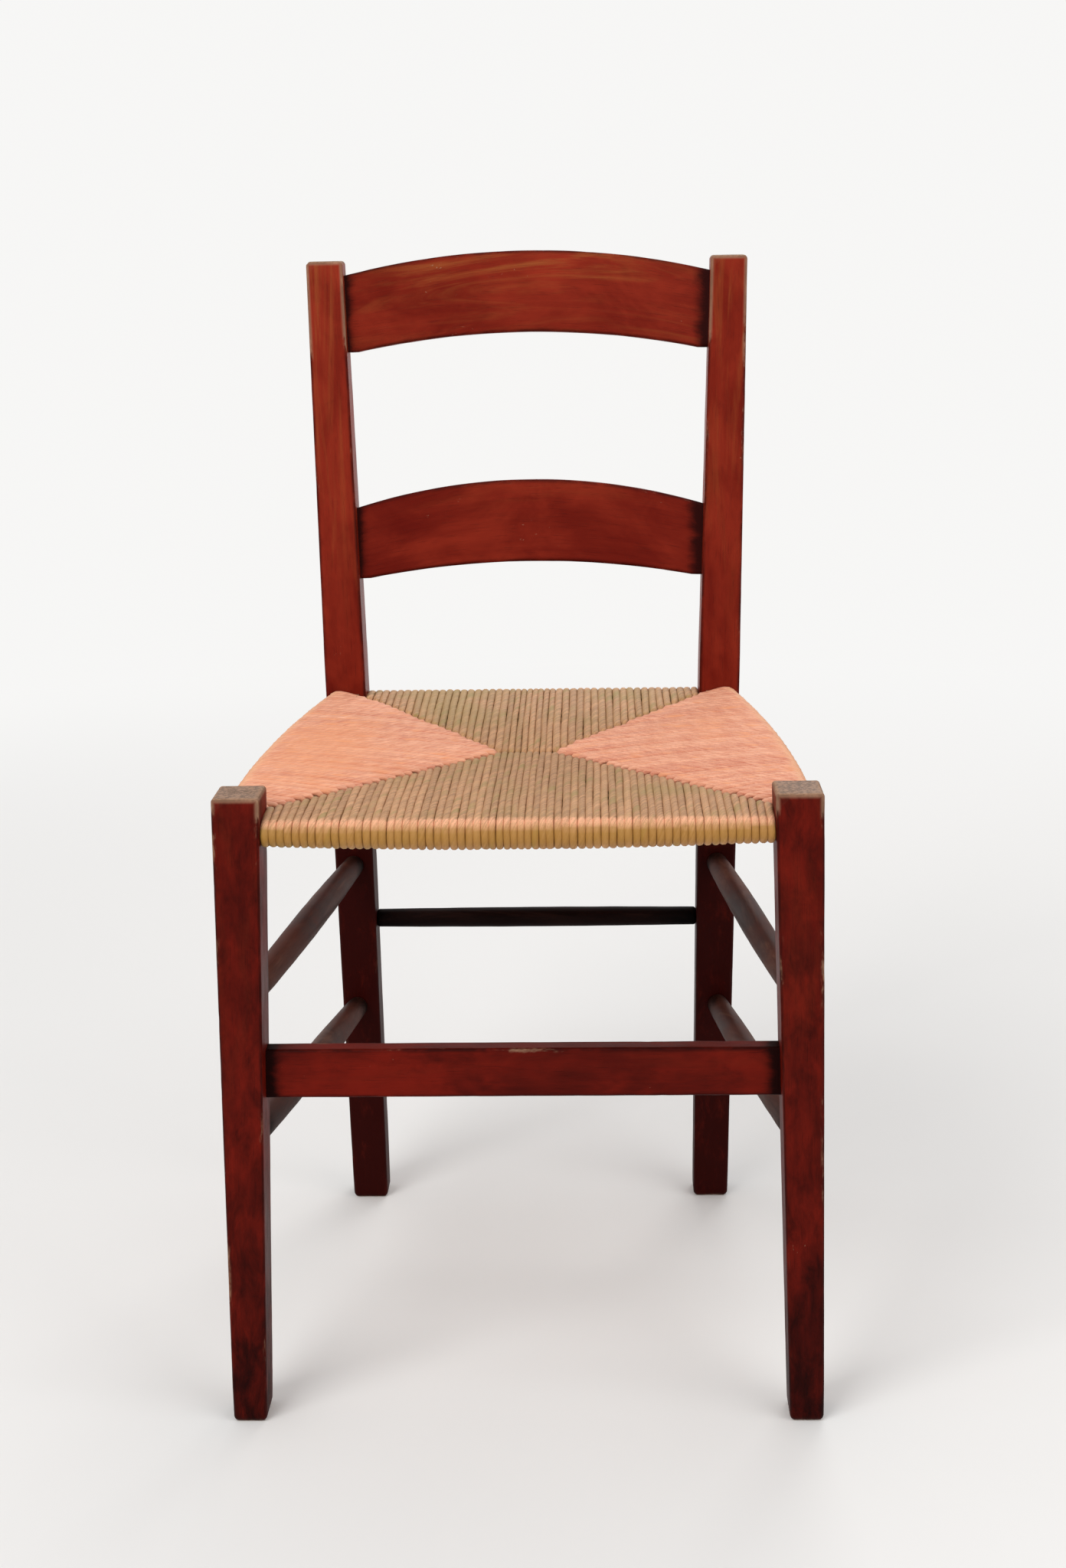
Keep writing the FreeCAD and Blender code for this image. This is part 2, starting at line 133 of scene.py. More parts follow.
def new_finish(name):
    """A new material, its tree of nodes and its shader."""
    material = bpy.data.materials.new(name)
    material.use_nodes = True
    return material, material.node_tree, material.node_tree.nodes["Principled BSDF"]


floor_mesh = bpy.data.meshes.new("floor")
floor_mesh.from_pydata([(x * FLOOR_REACH, y * FLOOR_REACH, 0)
                        for x, y in ((-1, -1), (1, -1), (1, 1), (-1, 1))], [], [(0, 1, 2, 3)])
floor = bpy.data.objects.new("floor", floor_mesh)
bpy.context.scene.collection.objects.link(floor)
floor_paint, tree, floor_shader = new_finish("floor_paint")
floor_shader.inputs["Base Color"].default_value = FLOOR_COLOUR
floor_shader.inputs["Roughness"].default_value = FLOOR_ROUGHNESS
away = tree.nodes.new("ShaderNodeVectorMath")
away.operation = "LENGTH"
tree.links.new(tree.nodes.new("ShaderNodeNewGeometry").outputs["Position"], away.inputs[0])
fade = tree.nodes.new("ShaderNodeMapRange")
fade.interpolation_type = "SMOOTHSTEP"
fade.inputs["From Min"].default_value, fade.inputs["From Max"].default_value = FADE
tree.links.new(away.outputs["Value"], fade.inputs["Value"])
only_seen = tree.nodes.new("ShaderNodeMath")
only_seen.operation = "MULTIPLY"
tree.links.new(fade.outputs["Result"], only_seen.inputs[0])
tree.links.new(seen_not_lit(tree), only_seen.inputs[1])
glow = tree.nodes.new("ShaderNodeEmission")
glow.inputs["Color"].default_value = BACKGROUND
melt = tree.nodes.new("ShaderNodeMixShader")
tree.links.new(only_seen.outputs[0], melt.inputs[0])
tree.links.new(floor_shader.outputs[0], melt.inputs[1])
tree.links.new(glow.outputs[0], melt.inputs[2])
tree.links.new(melt.outputs[0], tree.nodes["Material Output"].inputs["Surface"])
floor_mesh.materials.append(floor_paint)
floor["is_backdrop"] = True

# %% Hang the lamps
LAMPS = {"window": ((-1.7, -2.3, 2.7), 1.9, 62), "fill": ((2.3, -1.7, 1.7), 2.2, 24),
         "rim": ((0.6, 2.4, 2.5), 1.6, 26)}
AIM = Vector((0, 0, 0.45))
WORLD_LIGHT = (0.62, 0.62, 0.63, 1)

for name, (place, size, watts) in LAMPS.items():
    lamp_data = bpy.data.lights.new(name, "AREA")
    lamp_data.size = size
    lamp_data.energy = watts
    lamp = bpy.data.objects.new(name, lamp_data)
    lamp.location = place
    lamp.rotation_euler = (AIM - Vector(place)).to_track_quat("-Z", "Y").to_euler()
    bpy.context.scene.collection.objects.link(lamp)

world = bpy.data.worlds.new("studio")
world.use_nodes = True
bpy.context.scene.world = world
bpy.context.scene.view_settings.view_transform = "Standard"
tree = world.node_tree
sky = tree.nodes.new("ShaderNodeMix")
sky.data_type = "RGBA"
sky.inputs["A"].default_value = WORLD_LIGHT
sky.inputs["B"].default_value = BACKGROUND
tree.links.new(seen_not_lit(tree), sky.inputs["Factor"])
tree.links.new(sky.outputs["Result"], tree.nodes["Background"].inputs["Color"])
print("lamps", len(LAMPS))

# %% [markdown]
# ## How a worn board is made
#
# A planed board has flat sides, but after years of use no edge of it is sharp. A plain box
# with a bevel would round every edge alike. Here a board starts as a skin of square cells over
# a box. Then each point is pulled in towards the core of the box until it lies one edge radius
# away from it. The radius may differ from point to point, so a foot can be rounder than a
# shoulder. The same step adds the slow waves that a hand plane leaves.
#
# Each point remembers how far it is from the nearest edge and where it sits in the straight
# board. The finish uses the first for wear and the second for grain, which then runs along the
# board however it is bent.

# %% Cells over a box
EDGE_CELLS = 5
SUPPORT = 0.0008


def cell_lines(length, rounding, step):
    """Places of the cells' lines along one side: close together over the rounded edges."""
    turns = np.tan(np.radians(np.linspace(45, 0, EDGE_CELLS + 1)))
    edge = rounding * (1 - turns)
    inner = rounding + SUPPORT
    count = max(1, round((length - 2 * inner) / step))
    middle = np.linspace(inner, length - inner, count + 1)
    return np.concatenate([edge, middle, length - edge[::-1]])


def box_skin(lines):
    """The points and the four-cornered cells of a box's skin, facing outwards."""
    grid = np.stack(np.meshgrid(*lines, indexing="ij"), -1)
    outside = np.zeros(grid.shape[:3], bool)
    for axis in range(3):
        for end in (0, -1):
            np.moveaxis(outside, axis, 0)[end] = True
    number = np.full(outside.shape, -1)
    number[outside] = np.arange(outside.sum())
    cells = []
    for axis in range(3):
        for end in (0, -1):
            side = number.take(end, axis)
            four = np.stack([side[:-1, :-1], side[1:, :-1], side[1:, 1:], side[:-1, 1:]], -1)
            inwards = (end == 0) != (axis == 1)
            cells.append(four.reshape(-1, 4)[:, ::-1 if inwards else 1])
    return grid[outside], np.concatenate(cells)


def to_nearest_edge(points, size):
    """How far each point of a box's skin is from the nearest edge."""
    return np.sort(np.minimum(points, size - points), axis=1)[:, 1]


print("cells over a test cube:", len(box_skin([cell_lines(0.04, 0.003, 0.005)] * 3)[1]))

# %% [markdown]
# A piece is a mesh with a few named values on its points, which rides on the chair's one body
# and hides the CAD piece that it stands in for.

# %% Make a piece
def keep_values(mesh, values):
    """Store named numbers or vectors on the points of a mesh."""
    for label, value in values.items():
        is_vector = value.ndim == 2
        kind = "FLOAT_VECTOR" if is_vector else "FLOAT"
        stored = mesh.attributes.new(label, kind, "POINT").data
        stored.foreach_set("vector" if is_vector else "value",
                           value.astype(np.float32).ravel())


def make_piece(name, points, cells, slot, node, **values):
    mesh = bpy.data.meshes.new(name)
    mesh.from_pydata(points.tolist(), [], [list(map(int, cell)) for cell in cells])
    mesh.polygons.foreach_set("use_smooth", np.ones(len(cells), bool))
    keep_values(mesh, values)
    made = bpy.data.objects.new(name, mesh)
    bpy.context.scene.collection.objects.link(made)
    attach(made, "root")
    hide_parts(node)
    print(name, "-", len(points), "points")
    return made


# %% Ease and wear a board
WAVE_SPACING = 0.028
WAVE_HEIGHT = 0.00014
CHIP_SPACING = 0.011
CHIP_START = 0.30
CHIP_DEPTH = 0.0016
CHIP_REACH = 0.0035
CELL_ROUND = 0.003
GRAIN_SHIFT = np.array([0.37, 0.23, 0.71])


def smooth_noise(points, spacing, seed):
    """Noise from about -1 to 1 that changes over the spacing."""
    shift = Vector((seed * 7.3, seed * 3.1, seed * 5.7))
    return np.array([noise.noise(Vector(p) / spacing + shift) for p in points])


def worn_box(size, rounding, seed, step=0.005):
    """A straight board with eased edges, its cells, and what its points remember."""
    size = np.array(size)
    flat, cells = box_skin([cell_lines(length, CELL_ROUND, step) for length in size])
    radius = rounding(flat)[:, None]
    core = np.clip(flat, radius, size - radius)
    out = (flat - core) / np.linalg.norm(flat - core, axis=1)[:, None]
    edge = to_nearest_edge(flat, size)
    waves = WAVE_HEIGHT * smooth_noise(flat, WAVE_SPACING, seed)
    chips = np.clip(smooth_noise(flat, CHIP_SPACING, seed + 50) - CHIP_START, 0, 1)
    chips *= CHIP_DEPTH * np.clip(1 - edge / CHIP_REACH, 0, 1)
    points = core + out * (radius + (waves - chips)[:, None])
    return points, cells, {"edge": edge, "grain": flat + seed * GRAIN_SHIFT,
                           "end": out[:, 2] ** 2}


def ramp(value, start, end):
    """0 before start and 1 after end, easing in and out."""
    share = np.clip((value - start) / (end - start), 0, 1)
    return share * share * (3 - 2 * share)


# %% [markdown]
# ## The front legs
#
# A front leg is a square post, upright on its outer and front sides and tapered on the other
# two. It stands a little proud of the seat, so its top is bare end grain, rubbed by hands.
# Shoes have rounded the foot, and the foot is darker, partly with grime and partly with painted
# shade of light falling from above. The leg is a worn box whose width and depth follow its
# height. Shaping a straight box afterwards keeps the grain straight, as in sawn timber. The
# leg is also painted lighter towards its top, a painted light from above.
#
# Besides edge and grain, every wooden piece remembers three shares for its finish: how much
# grime and painted shade darken it, how much golden wood and painted light lighten it, and
# how much its edges are rubbed.

# %% Shape the front legs
FRONT_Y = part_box("front_leg_left")[0].y
LEG_SIZE = (0.034, 0.040, 0.465)
LEG_FOOT_SIZE = (0.0245, 0.032)
LEG_OUTER_X = 0.214
EDGE_ROUND = 0.0028
FOOT_ROUND = 0.0048
FOOT_ROUND_TOP = 0.03
# The foot share darkens the foot: partly grime, partly painted shade of light falling from above.
LEG_GRIME, FOOT_GRIME_AND_SHADE, FOOT_GRIME_AND_SHADE_TOP = 0.27, 0.24, 0.20
# The next share paints the leg lighter towards its top, a painted light from above.
LEG_PAINTED_LIGHT, LEG_PAINTED_LIGHT_FROM = 0.5, 0.1
LEG_RUB, LEG_TOP_RUB, LEG_TOP_REACH = 0.68, 0.7, 0.02


def leg_rounding(flat):
    return FOOT_ROUND + (EDGE_ROUND - FOOT_ROUND) * ramp(flat[:, 2], 0, FOOT_ROUND_TOP)


def leg_span(z):
    """The leg's inner x and its depth at height z."""
    share = z / LEG_SIZE[2]
    width = LEG_FOOT_SIZE[0] + (LEG_SIZE[0] - LEG_FOOT_SIZE[0]) * share
    return LEG_OUTER_X - width, LEG_FOOT_SIZE[1] + (LEG_SIZE[1] - LEG_FOOT_SIZE[1]) * share


for seed, side in enumerate((-1, 1), 1):
    points, cells, values = worn_box(LEG_SIZE, leg_rounding, seed)
    x, y, z = points.T
    inner_x, depth = leg_span(z)
    x = side * (LEG_OUTER_X - (LEG_OUTER_X - inner_x) * (1 - x / LEG_SIZE[0]))
    y = FRONT_Y + y / LEG_SIZE[1] * depth
    name = "front_leg_right" if side > 0 else "front_leg_left"
    make_piece("leg_" + name, np.stack([x, y, z], 1), cells[:, ::side], "stained_wood", name,
               grime=LEG_GRIME + FOOT_GRIME_AND_SHADE * (1 - ramp(z, 0, FOOT_GRIME_AND_SHADE_TOP)),
               gold=LEG_PAINTED_LIGHT * ramp(z, LEG_PAINTED_LIGHT_FROM, LEG_SIZE[2]),
               rub=LEG_RUB + LEG_TOP_RUB * ramp(z, LEG_SIZE[2] - LEG_TOP_REACH, LEG_SIZE[2]),
               **values)

# %% [markdown]
# ## The back posts
#
# A back post is sawn from a board with a bend at the seat, so that the back leans while the
# leg under it stands. It also spreads a little towards the top. The same worn box follows
# three sizes, at the foot, the knee and the top, and the bend between them is eased. The top
# corners are the most worn edges of the chair, because that is where it is picked up. The
# part below the seat is darkened with painted shade, the seat's shadow, and the post is
# painted lighter towards the top, a painted light from above.

# %% Shape the back posts
POST_HEIGHT = 0.830
KNEE_HEIGHT = 0.455
KNEE_REACH = 0.060
POST_FRONT_Y = (0.377, 0.386, 0.423)
POST_DEPTH = (0.029, 0.036, 0.028)
POST_WIDTH = (0.030, 0.035, 0.0315)
POST_FOOT_OUTER_X = 0.1663
POST_SPREAD = 0.029
POST_TOP_ROUND = 0.0038
TOP_ROUND_FROM = 0.74
# The second share and its fade are painted shade: the seat's shadow darkens the post below the
# seat.
POST_GRIME, UNDER_SEAT_SHADE, UNDER_SEAT_SHADE_FADE = 0.05, 0.75, (0.36, 0.47)
# From this height up, the post is painted lighter towards its top, a painted light from above.
POST_PAINTED_LIGHT_FROM = 0.45
POST_RUB, POST_TOP_RUB, POST_TOP_REACH = 0.65, 0.9, (0.12, 0.01)


def along_post(values, z):
    """A size given at the foot, the knee and the top, with the bend at the knee eased."""
    foot, knee, top = values
    lower = (knee - foot) / KNEE_HEIGHT
    upper = (top - knee) / (POST_HEIGHT - KNEE_HEIGHT)
    above = np.asarray(z) - KNEE_HEIGHT
    bend = (upper - lower) * np.clip(above + KNEE_REACH, 0, 2 * KNEE_REACH) ** 2 / 4 / KNEE_REACH
    straight = np.where(above > KNEE_REACH, upper * above, lower * above)
    return knee + straight + np.where(above > KNEE_REACH, 0, bend)


def post_inner_x(z):
    return POST_FOOT_OUTER_X + POST_SPREAD * z - along_post(POST_WIDTH, z)


def post_rounding(flat):
    z = flat[:, 2]
    lower = FOOT_ROUND + (EDGE_ROUND - FOOT_ROUND) * ramp(z, 0, FOOT_ROUND_TOP)
    return lower + (POST_TOP_ROUND - EDGE_ROUND) * ramp(z, TOP_ROUND_FROM, POST_HEIGHT)


POST_BOX = (POST_WIDTH[1], POST_DEPTH[1], POST_HEIGHT)
for seed, side in enumerate((-1, 1), 3):
    points, cells, values = worn_box(POST_BOX, post_rounding, seed)
    x, y, z = points.T
    x = side * (post_inner_x(z) + x / POST_BOX[0] * along_post(POST_WIDTH, z))
    y = FRONT_Y + along_post(POST_FRONT_Y, z) + y / POST_BOX[1] * along_post(POST_DEPTH, z)
    name = "back_post_right" if side > 0 else "back_post_left"
    top_wear = ramp(z, *(POST_HEIGHT - reach for reach in POST_TOP_REACH))
    make_piece("post_" + name, np.stack([x, y, z], 1), cells[:, ::side], "stained_wood", name,
               grime=POST_GRIME + UNDER_SEAT_SHADE * (1 - ramp(z, *UNDER_SEAT_SHADE_FADE)),
               gold=ramp(z, POST_PAINTED_LIGHT_FROM, POST_HEIGHT),
               rub=POST_RUB + POST_TOP_RUB * top_wear, **values)

# %% [markdown]
# ## The slats
#
# A slat is a thin board with an arched upper and lower edge, steamed and bent backwards so
# that it fits a back. It sits behind the front faces of the posts. The box's height follows
# the two arches, its depth follows the bend, and then the whole slat leans back with the
# posts. Its ends run a few millimetres into the posts, as a real slat's do. Painted shade
# darkens the ends there, more on the right. The top slat is painted lighter than the lower
# one, a painted light from above, and the middle of its upper half is lighter and more golden,
# golden streaks with a painted highlight.

# %% Bend the slats
RAKE = math.atan((POST_FRONT_Y[2] - POST_FRONT_Y[1]) / (POST_HEIGHT - KNEE_HEIGHT))
SLAT_THICKNESS = 0.011
SLAT_SETBACK = 0.010
SLAT_BOW = 0.013
SLAT_FLAT = 0.013
INTO_POST = 0.004
SLAT_ROUND = 0.0022
# Painted shade: the slat ends darken where they meet the posts, more on the right.
SLAT_END_SHADE, SLAT_END_SHADE_REACH = 0.9, {"left": 0.009, "right": 0.020}
# The top slat is painted lighter all over than the lower one, a painted light from above; its
# upper middle is lighter and more golden, golden streaks with a painted highlight.
GOLD_AND_HIGHLIGHT_HEIGHTS, GOLD_AND_HIGHLIGHT_SPAN = (0.45, 0.9), (0.06, 0.13)
SLAT_GOLD_AND_LIGHT = {"top_slat": (0.4, 1.3), "lower_slat": (0, 0.2)}
SLAT_RUB = 0.6
SLATS = {"top_slat": (0.7515, 0.0658, 0.0211, 0.0161),
         "lower_slat": (0.5555, 0.0608, 0.0236, 0.0126)}


def arch(x, half, rise):
    """The height at x of a circular arch of that rise over the half span, 0 outside it."""
    radius = (half ** 2 + rise ** 2) / (2 * rise)
    inside = np.clip(np.abs(x), 0, half)
    return rise - radius + np.sqrt(radius ** 2 - inside ** 2)


for seed, (name, (foot_z, end_height, top_rise, low_rise)) in enumerate(SLATS.items(), 5):
    half_span = float(post_inner_x(foot_z + end_height / 2))
    half = half_span + INTO_POST
    box = (end_height, SLAT_THICKNESS, 2 * half)
    points, cells, values = worn_box(box, lambda flat: np.full(len(flat), SLAT_ROUND), seed)
    up, y, x = points[:, 0], points[:, 1], points[:, 2] - half
    low = arch(x, half - SLAT_FLAT, low_rise)
    up = low + up / end_height * (end_height + arch(x, half, top_rise) - low)
    y = y + SLAT_BOW * (1 - (x / half_span) ** 2)
    z = foot_z + up * math.cos(RAKE) - y * math.sin(RAKE)
    y = FRONT_Y + float(along_post(POST_FRONT_Y, foot_z)) + SLAT_SETBACK \
        + up * math.sin(RAKE) + y * math.cos(RAKE)
    reach = np.where(x > 0, SLAT_END_SHADE_REACH["right"], SLAT_END_SHADE_REACH["left"])
    corners = ramp(np.abs(x), half_span - reach, half_span + 0.001)
    values["end"] = np.zeros(len(x))
    upper_middle = ramp(up / up.max(), *GOLD_AND_HIGHLIGHT_HEIGHTS) * (1 - ramp(np.abs(x), *GOLD_AND_HIGHLIGHT_SPAN))
    all_over, more = SLAT_GOLD_AND_LIGHT[name]
    make_piece("bent_" + name, np.stack([x, y, z], 1), cells, "stained_wood", name,
               grime=SLAT_END_SHADE * corners, gold=all_over + more * upper_middle,
               rub=np.full(len(x), SLAT_RUB), **values)

# %% [markdown]
# ## The board between the front legs
#
# One flat board on edge ties the front legs together at shin height. Heels rub its top edge,
# so the stain is thin there. It is darker at its ends, where it meets the legs, and painted
# lighter towards its top, a painted light from above. It is the plainest worn box.

# %% Shape the front board
BOARD_LOW_Z = 0.2395
BOARD_HEIGHT = 0.036
BOARD_FRONT_Y = 0.017
BOARD_THICKNESS = 0.015
BOARD_ROUND = 0.0022
INTO_LEG = 0.004
BOARD_GRIME, BOARD_END_DARKENING, BOARD_CORNER = 0.1, 0.8, 0.02
# The board is painted lighter towards its top edge, a painted light from above.
BOARD_TOP_PAINTED_LIGHT = 0.4
BOARD_RUB, BOARD_TOP_RUB, BOARD_TOP_FROM = 0.5, 0.2, 0.8

half = float(leg_span(BOARD_LOW_Z)[0]) + INTO_LEG
box = (BOARD_HEIGHT, BOARD_THICKNESS, 2 * half)
points, cells, values = worn_box(box, lambda flat: np.full(len(flat), BOARD_ROUND), 9)
up, y, x = points.T
x = x - half
corners = ramp(np.abs(x), half - BOARD_CORNER, half - INTO_LEG)
values["end"] = np.zeros(len(x))
make_piece("board_front_stretcher",
           np.stack([x, FRONT_Y + BOARD_FRONT_Y + y, BOARD_LOW_Z + up], 1), cells,
           "stained_wood", "front_stretcher",
           grime=BOARD_GRIME + BOARD_END_DARKENING * corners,
           gold=BOARD_TOP_PAINTED_LIGHT * ramp(up, 0, BOARD_HEIGHT),
           rub=BOARD_RUB + BOARD_TOP_RUB * ramp(up, BOARD_TOP_FROM * BOARD_HEIGHT, BOARD_HEIGHT),
           **values)

# %% [markdown]
# ## The turned rods
#
# Two rods on each side and one at the back are turned on a lathe: thickest in the middle and
# tapering to round tenons. A tube of rings follows each rod's line. Its radius swells with a
# smooth curve, and small waves stand for the lathe's marks. The upper sides are lighter, partly
# rubbed by feet and partly a painted highlight of light from above, and the ends are dark where
# a cloth doesn't reach.

# %% Turn the rods
ROD_SIDES = 32
ROD_STEP = 0.004
ROD_NECK = 0.002
INTO_SOCKET = 0.004
ROD_RADII = (0.011, 0.0088, 0.007)
BACK_ROD_RADII = (0.0086, 0.0078, 0.006)
SIDE_ROD_X = (0.198, 0.1585)
UPPER_ROD_Z = (0.308, 0.305)
LOWER_ROD_Z = (0.203, 0.177)
BACK_ROD_PLACE = (0.398, 0.252)
LATHE_WAVES, LATHE_WAVE_SPACING = 0.018, 0.022
ROD_END_GRIME_REACH = 0.05
ROD_GOLD, ROD_TOP_WEAR_AND_HIGHLIGHT = 0.2, 0.6
FAR_FROM_EDGES = 0.05


def tube_cells(rings, sides):
    """Four-cornered cells between rings of points, and a cap at each end."""
    first = np.arange(rings - 1)[:, None] * sides
    around = np.arange(sides)
    ahead = (around + 1) % sides
    four = np.stack([first + around, first + ahead, first + ahead + sides,
                     first + around + sides], -1).reshape(-1, 4)
    return four.tolist() + [list(range(sides))[::-1],
                            list(range((rings - 1) * sides, rings * sides))]


def turned_rod(name, start, end, radii, seed):
    start, end = np.array(start), np.array(end)
    length = np.linalg.norm(end - start)
    way = (end - start) / length
    beside = np.cross(way, (0, 0, 1))
    beside /= np.linalg.norm(beside)
    above = np.cross(beside, way)
    neck = np.linspace(0, ROD_NECK, 5)
    shaft = np.linspace(ROD_NECK, length - ROD_NECK, round(length / ROD_STEP))[1:-1]
    along = np.concatenate([[-INTO_SOCKET], neck, shaft, length - neck[::-1],
                            [length + INTO_SOCKET]])
    share = np.clip((along - ROD_NECK) / (length - 2 * ROD_NECK), 0, 1)
    middle, shoulder, tenon = radii
    to_end = np.clip(np.minimum(along, length - along), 0, ROD_NECK) / ROD_NECK
    swell = tenon + (shoulder - tenon) * np.sqrt(to_end)
    swell += (middle - shoulder) * 4 * share * (1 - share)
    turns = np.linspace(0, 2 * math.pi, ROD_SIDES, endpoint=False)
    round_x, round_y = np.cos(turns), np.sin(turns)
    straight = np.stack([np.outer(swell, round_x), np.outer(swell, round_y),
                         np.repeat(along[:, None], ROD_SIDES, 1)], -1).reshape(-1, 3)
    waves = 1 + LATHE_WAVES * smooth_noise(straight, LATHE_WAVE_SPACING, seed)
    straight[:, :2] *= waves[:, None]
    points = start + straight[:, :1] * beside + straight[:, 1:2] * above + straight[:, 2:] * way
    ends = np.minimum(straight[:, 2], length - straight[:, 2])
    facing_up = straight[:, 1] / np.hypot(straight[:, 0], straight[:, 1])
    return make_piece("rod_" + name, points, tube_cells(len(along), ROD_SIDES), "turned_wood",
                      name, edge=np.full(len(points), FAR_FROM_EDGES),
                      grain=straight + seed * GRAIN_SHIFT, end=np.zeros(len(points)),
                      grime=1 - ramp(ends, 0, ROD_END_GRIME_REACH),
                      # The upper side is lighter: partly rubbed by feet, partly a painted
                      # highlight of light from above.
                      gold=ROD_GOLD + ROD_TOP_WEAR_AND_HIGHLIGHT * ramp(facing_up, -0.2, 1),
                      rub=np.ones(len(points)))


def side_rod_points(side, heights):
    """Where a side rod meets the front leg's back face and the post's front face."""
    front_z, back_z = heights
    return ((side * SIDE_ROD_X[0], FRONT_Y + float(leg_span(front_z)[1]), front_z),
            (side * SIDE_ROD_X[1], FRONT_Y + float(along_post(POST_FRONT_Y, back_z)), back_z))


for seed, (level, heights) in enumerate((("upper", UPPER_ROD_Z), ("lower", LOWER_ROD_Z)), 11):
    for side, label in ((-1, "left"), (1, "right")):
        turned_rod(f"{level}_side_stretcher_{label}", *side_rod_points(side, heights),
                   ROD_RADII, seed + 2 * side)
back_y, back_z = BACK_ROD_PLACE
half = float(post_inner_x(back_z))
turned_rod("back_stretcher", (-half, FRONT_Y + back_y, back_z), (half, FRONT_Y + back_y, back_z),
           BACK_ROD_RADII, 17)

# %% [markdown]
# ## The rush seat
#
# One long cord, twisted from rush leaves, is wound round the four seat rails from the corners
# inwards. Every turn passes over a rail, down through the middle of the seat and on to the
# next rail. So the seat has two layers with stuffing between them, and its top shows four
# fields of parallel cords. Where two fields meet, the cords dive under each other along a
# mitred seam, and a short line joins the two tips of the side fields.
#
# A weave painted on a flat seat would look flat at the seams and at the rolls over the rails.
# So every turn of cord is a tube here: it starts inside the seat, comes up at the seam, runs
# to its rail, rolls over it and returns under the seat. The rails are lines with a belly, and
# a cord is described by how far it is from its rail's outer face and how high it is.

# %% The seat rails as lines
class Rail:
    """A seat rail seen from above: its outer face runs from start to end, with a belly."""

    def __init__(self, start, end, inward, belly, heights):
        self.start, self.end, self.inward = (np.array(v, float) for v in (start, end, inward))
        self.belly = belly
        self.heights = heights
        self.across = np.abs(self.inward[[1, 0, 2]])

    def fraction(self, place):
        """How far along the rail a place is."""
        return (place - self.start) @ self.across / ((self.end - self.start) @ self.across)

    def face(self, t):
        swell = 1 - (2 * t - 1) ** 2
        return self.start + (self.end - self.start) * t - self.inward * self.belly * swell

    def height(self, t):
        return self.heights[0] + (self.heights[1] - self.heights[0]) * (1 - (2 * t - 1) ** 2)


RAIL_HEIGHT = 0.012
front_x = float(leg_span(0.4424)[0])
back_x = float(post_inner_x(0.4506))
front_rail = Rail((-front_x, FRONT_Y + 0.0066, 0.4424), (front_x, FRONT_Y + 0.0066, 0.4424),
                  (0, 1, 0), 0, (0.0106, 0.0146))
back_rail = Rail((-back_x, FRONT_Y + 0.417, 0.4506), (back_x, FRONT_Y + 0.417, 0.4506),
                 (0, -1, 0), 0, (RAIL_HEIGHT, RAIL_HEIGHT))
side_start = (0.208, FRONT_Y + float(leg_span(0.450)[1]), 0.450)
side_end = (0.1726, FRONT_Y + float(along_post(POST_FRONT_Y, 0.4566)), 0.4566)
right_rail = Rail(side_start, side_end, (-1, 0, 0), 0.009, (RAIL_HEIGHT, RAIL_HEIGHT))
print("front rail", round(2 * front_x, 4), "m, back rail", round(2 * back_x, 4), "m")

# %% The seams
# A seam's end holds its place on the upper layer and the lower layer's height.
CLEARANCE = 0.0003
FRONT_CORNER = (np.array([front_x - CLEARANCE, side_start[1] + CLEARANCE, 0.4495]), 0.4275)
BACK_CORNER = (np.array([back_x - CLEARANCE, side_end[1] - 0.0013, 0.4555]), 0.4360)
TIP = (np.array([0.020, FRONT_Y + 0.230, 0.4430]), 0.4245)
FRONT_CORDS, BRIDGE_CORDS, BACK_CORDS = 29, 8, 20


def other_side(node):
    place, low = node
    return place * (-1, 1, 1), low


def seam_places(nodes, counts):
    """The middle of each cord along the seams between the nodes, with its width."""
    for (a, low_a), (b, low_b), count in zip(nodes, nodes[1:], counts):
        for i in range(count):
            share = (i + 0.5) / count
            yield a + (b - a) * share, low_a + (low_b - low_a) * share, (b - a) / count


front_seam = [other_side(FRONT_CORNER), other_side(TIP), TIP, FRONT_CORNER]
back_seam = [other_side(BACK_CORNER), other_side(TIP), TIP, BACK_CORNER]
side_seam = [FRONT_CORNER, TIP, BACK_CORNER]
print("cords:", 2 * FRONT_CORDS + BRIDGE_CORDS, "in front,", 2 * BACK_CORDS + BRIDGE_CORDS,
      "behind,", FRONT_CORDS + BACK_CORDS, "on each side")

# %% [markdown]
# A cord's line is drawn with few points and then rounded by cutting its corners three times
# over, which comes close to a smooth spline. The dive at the seam keeps a small radius, as
# stiff rush does.

# %% One turn of cord
CORD_LAYER = 0.0046
CROWN, CROWN_RUN = 0.0022, 0.23
DIVE = 0.009
DIVE_CORNER = 0.0035
ROUNDINGS = 3
SEAM_GAP = 0.0003
BRIDGE_GAP = 0.0010
CORD_STEP = 0.0034
CORD_SIDES = 10
TWIST_LENGTH = 0.034


def cut_corners(line, times):
    for _ in range(times):
        near = 0.75 * line[:-1] + 0.25 * line[1:]
        far = 0.25 * line[:-1] + 0.75 * line[1:]
        line = np.concatenate([line[:1], np.stack([near, far], 1).reshape(-1, 2), line[-1:]])
    return line


def even_steps(line, step):
    """The same line with its points evenly spaced."""
    lengths = np.concatenate([[0], np.cumsum(np.linalg.norm(np.diff(line, axis=0), axis=1))])
    at = np.linspace(0, lengths[-1], max(8, round(lengths[-1] / step)))
    return np.stack([np.interp(at, lengths, line[:, i]) for i in (0, 1)], 1), at


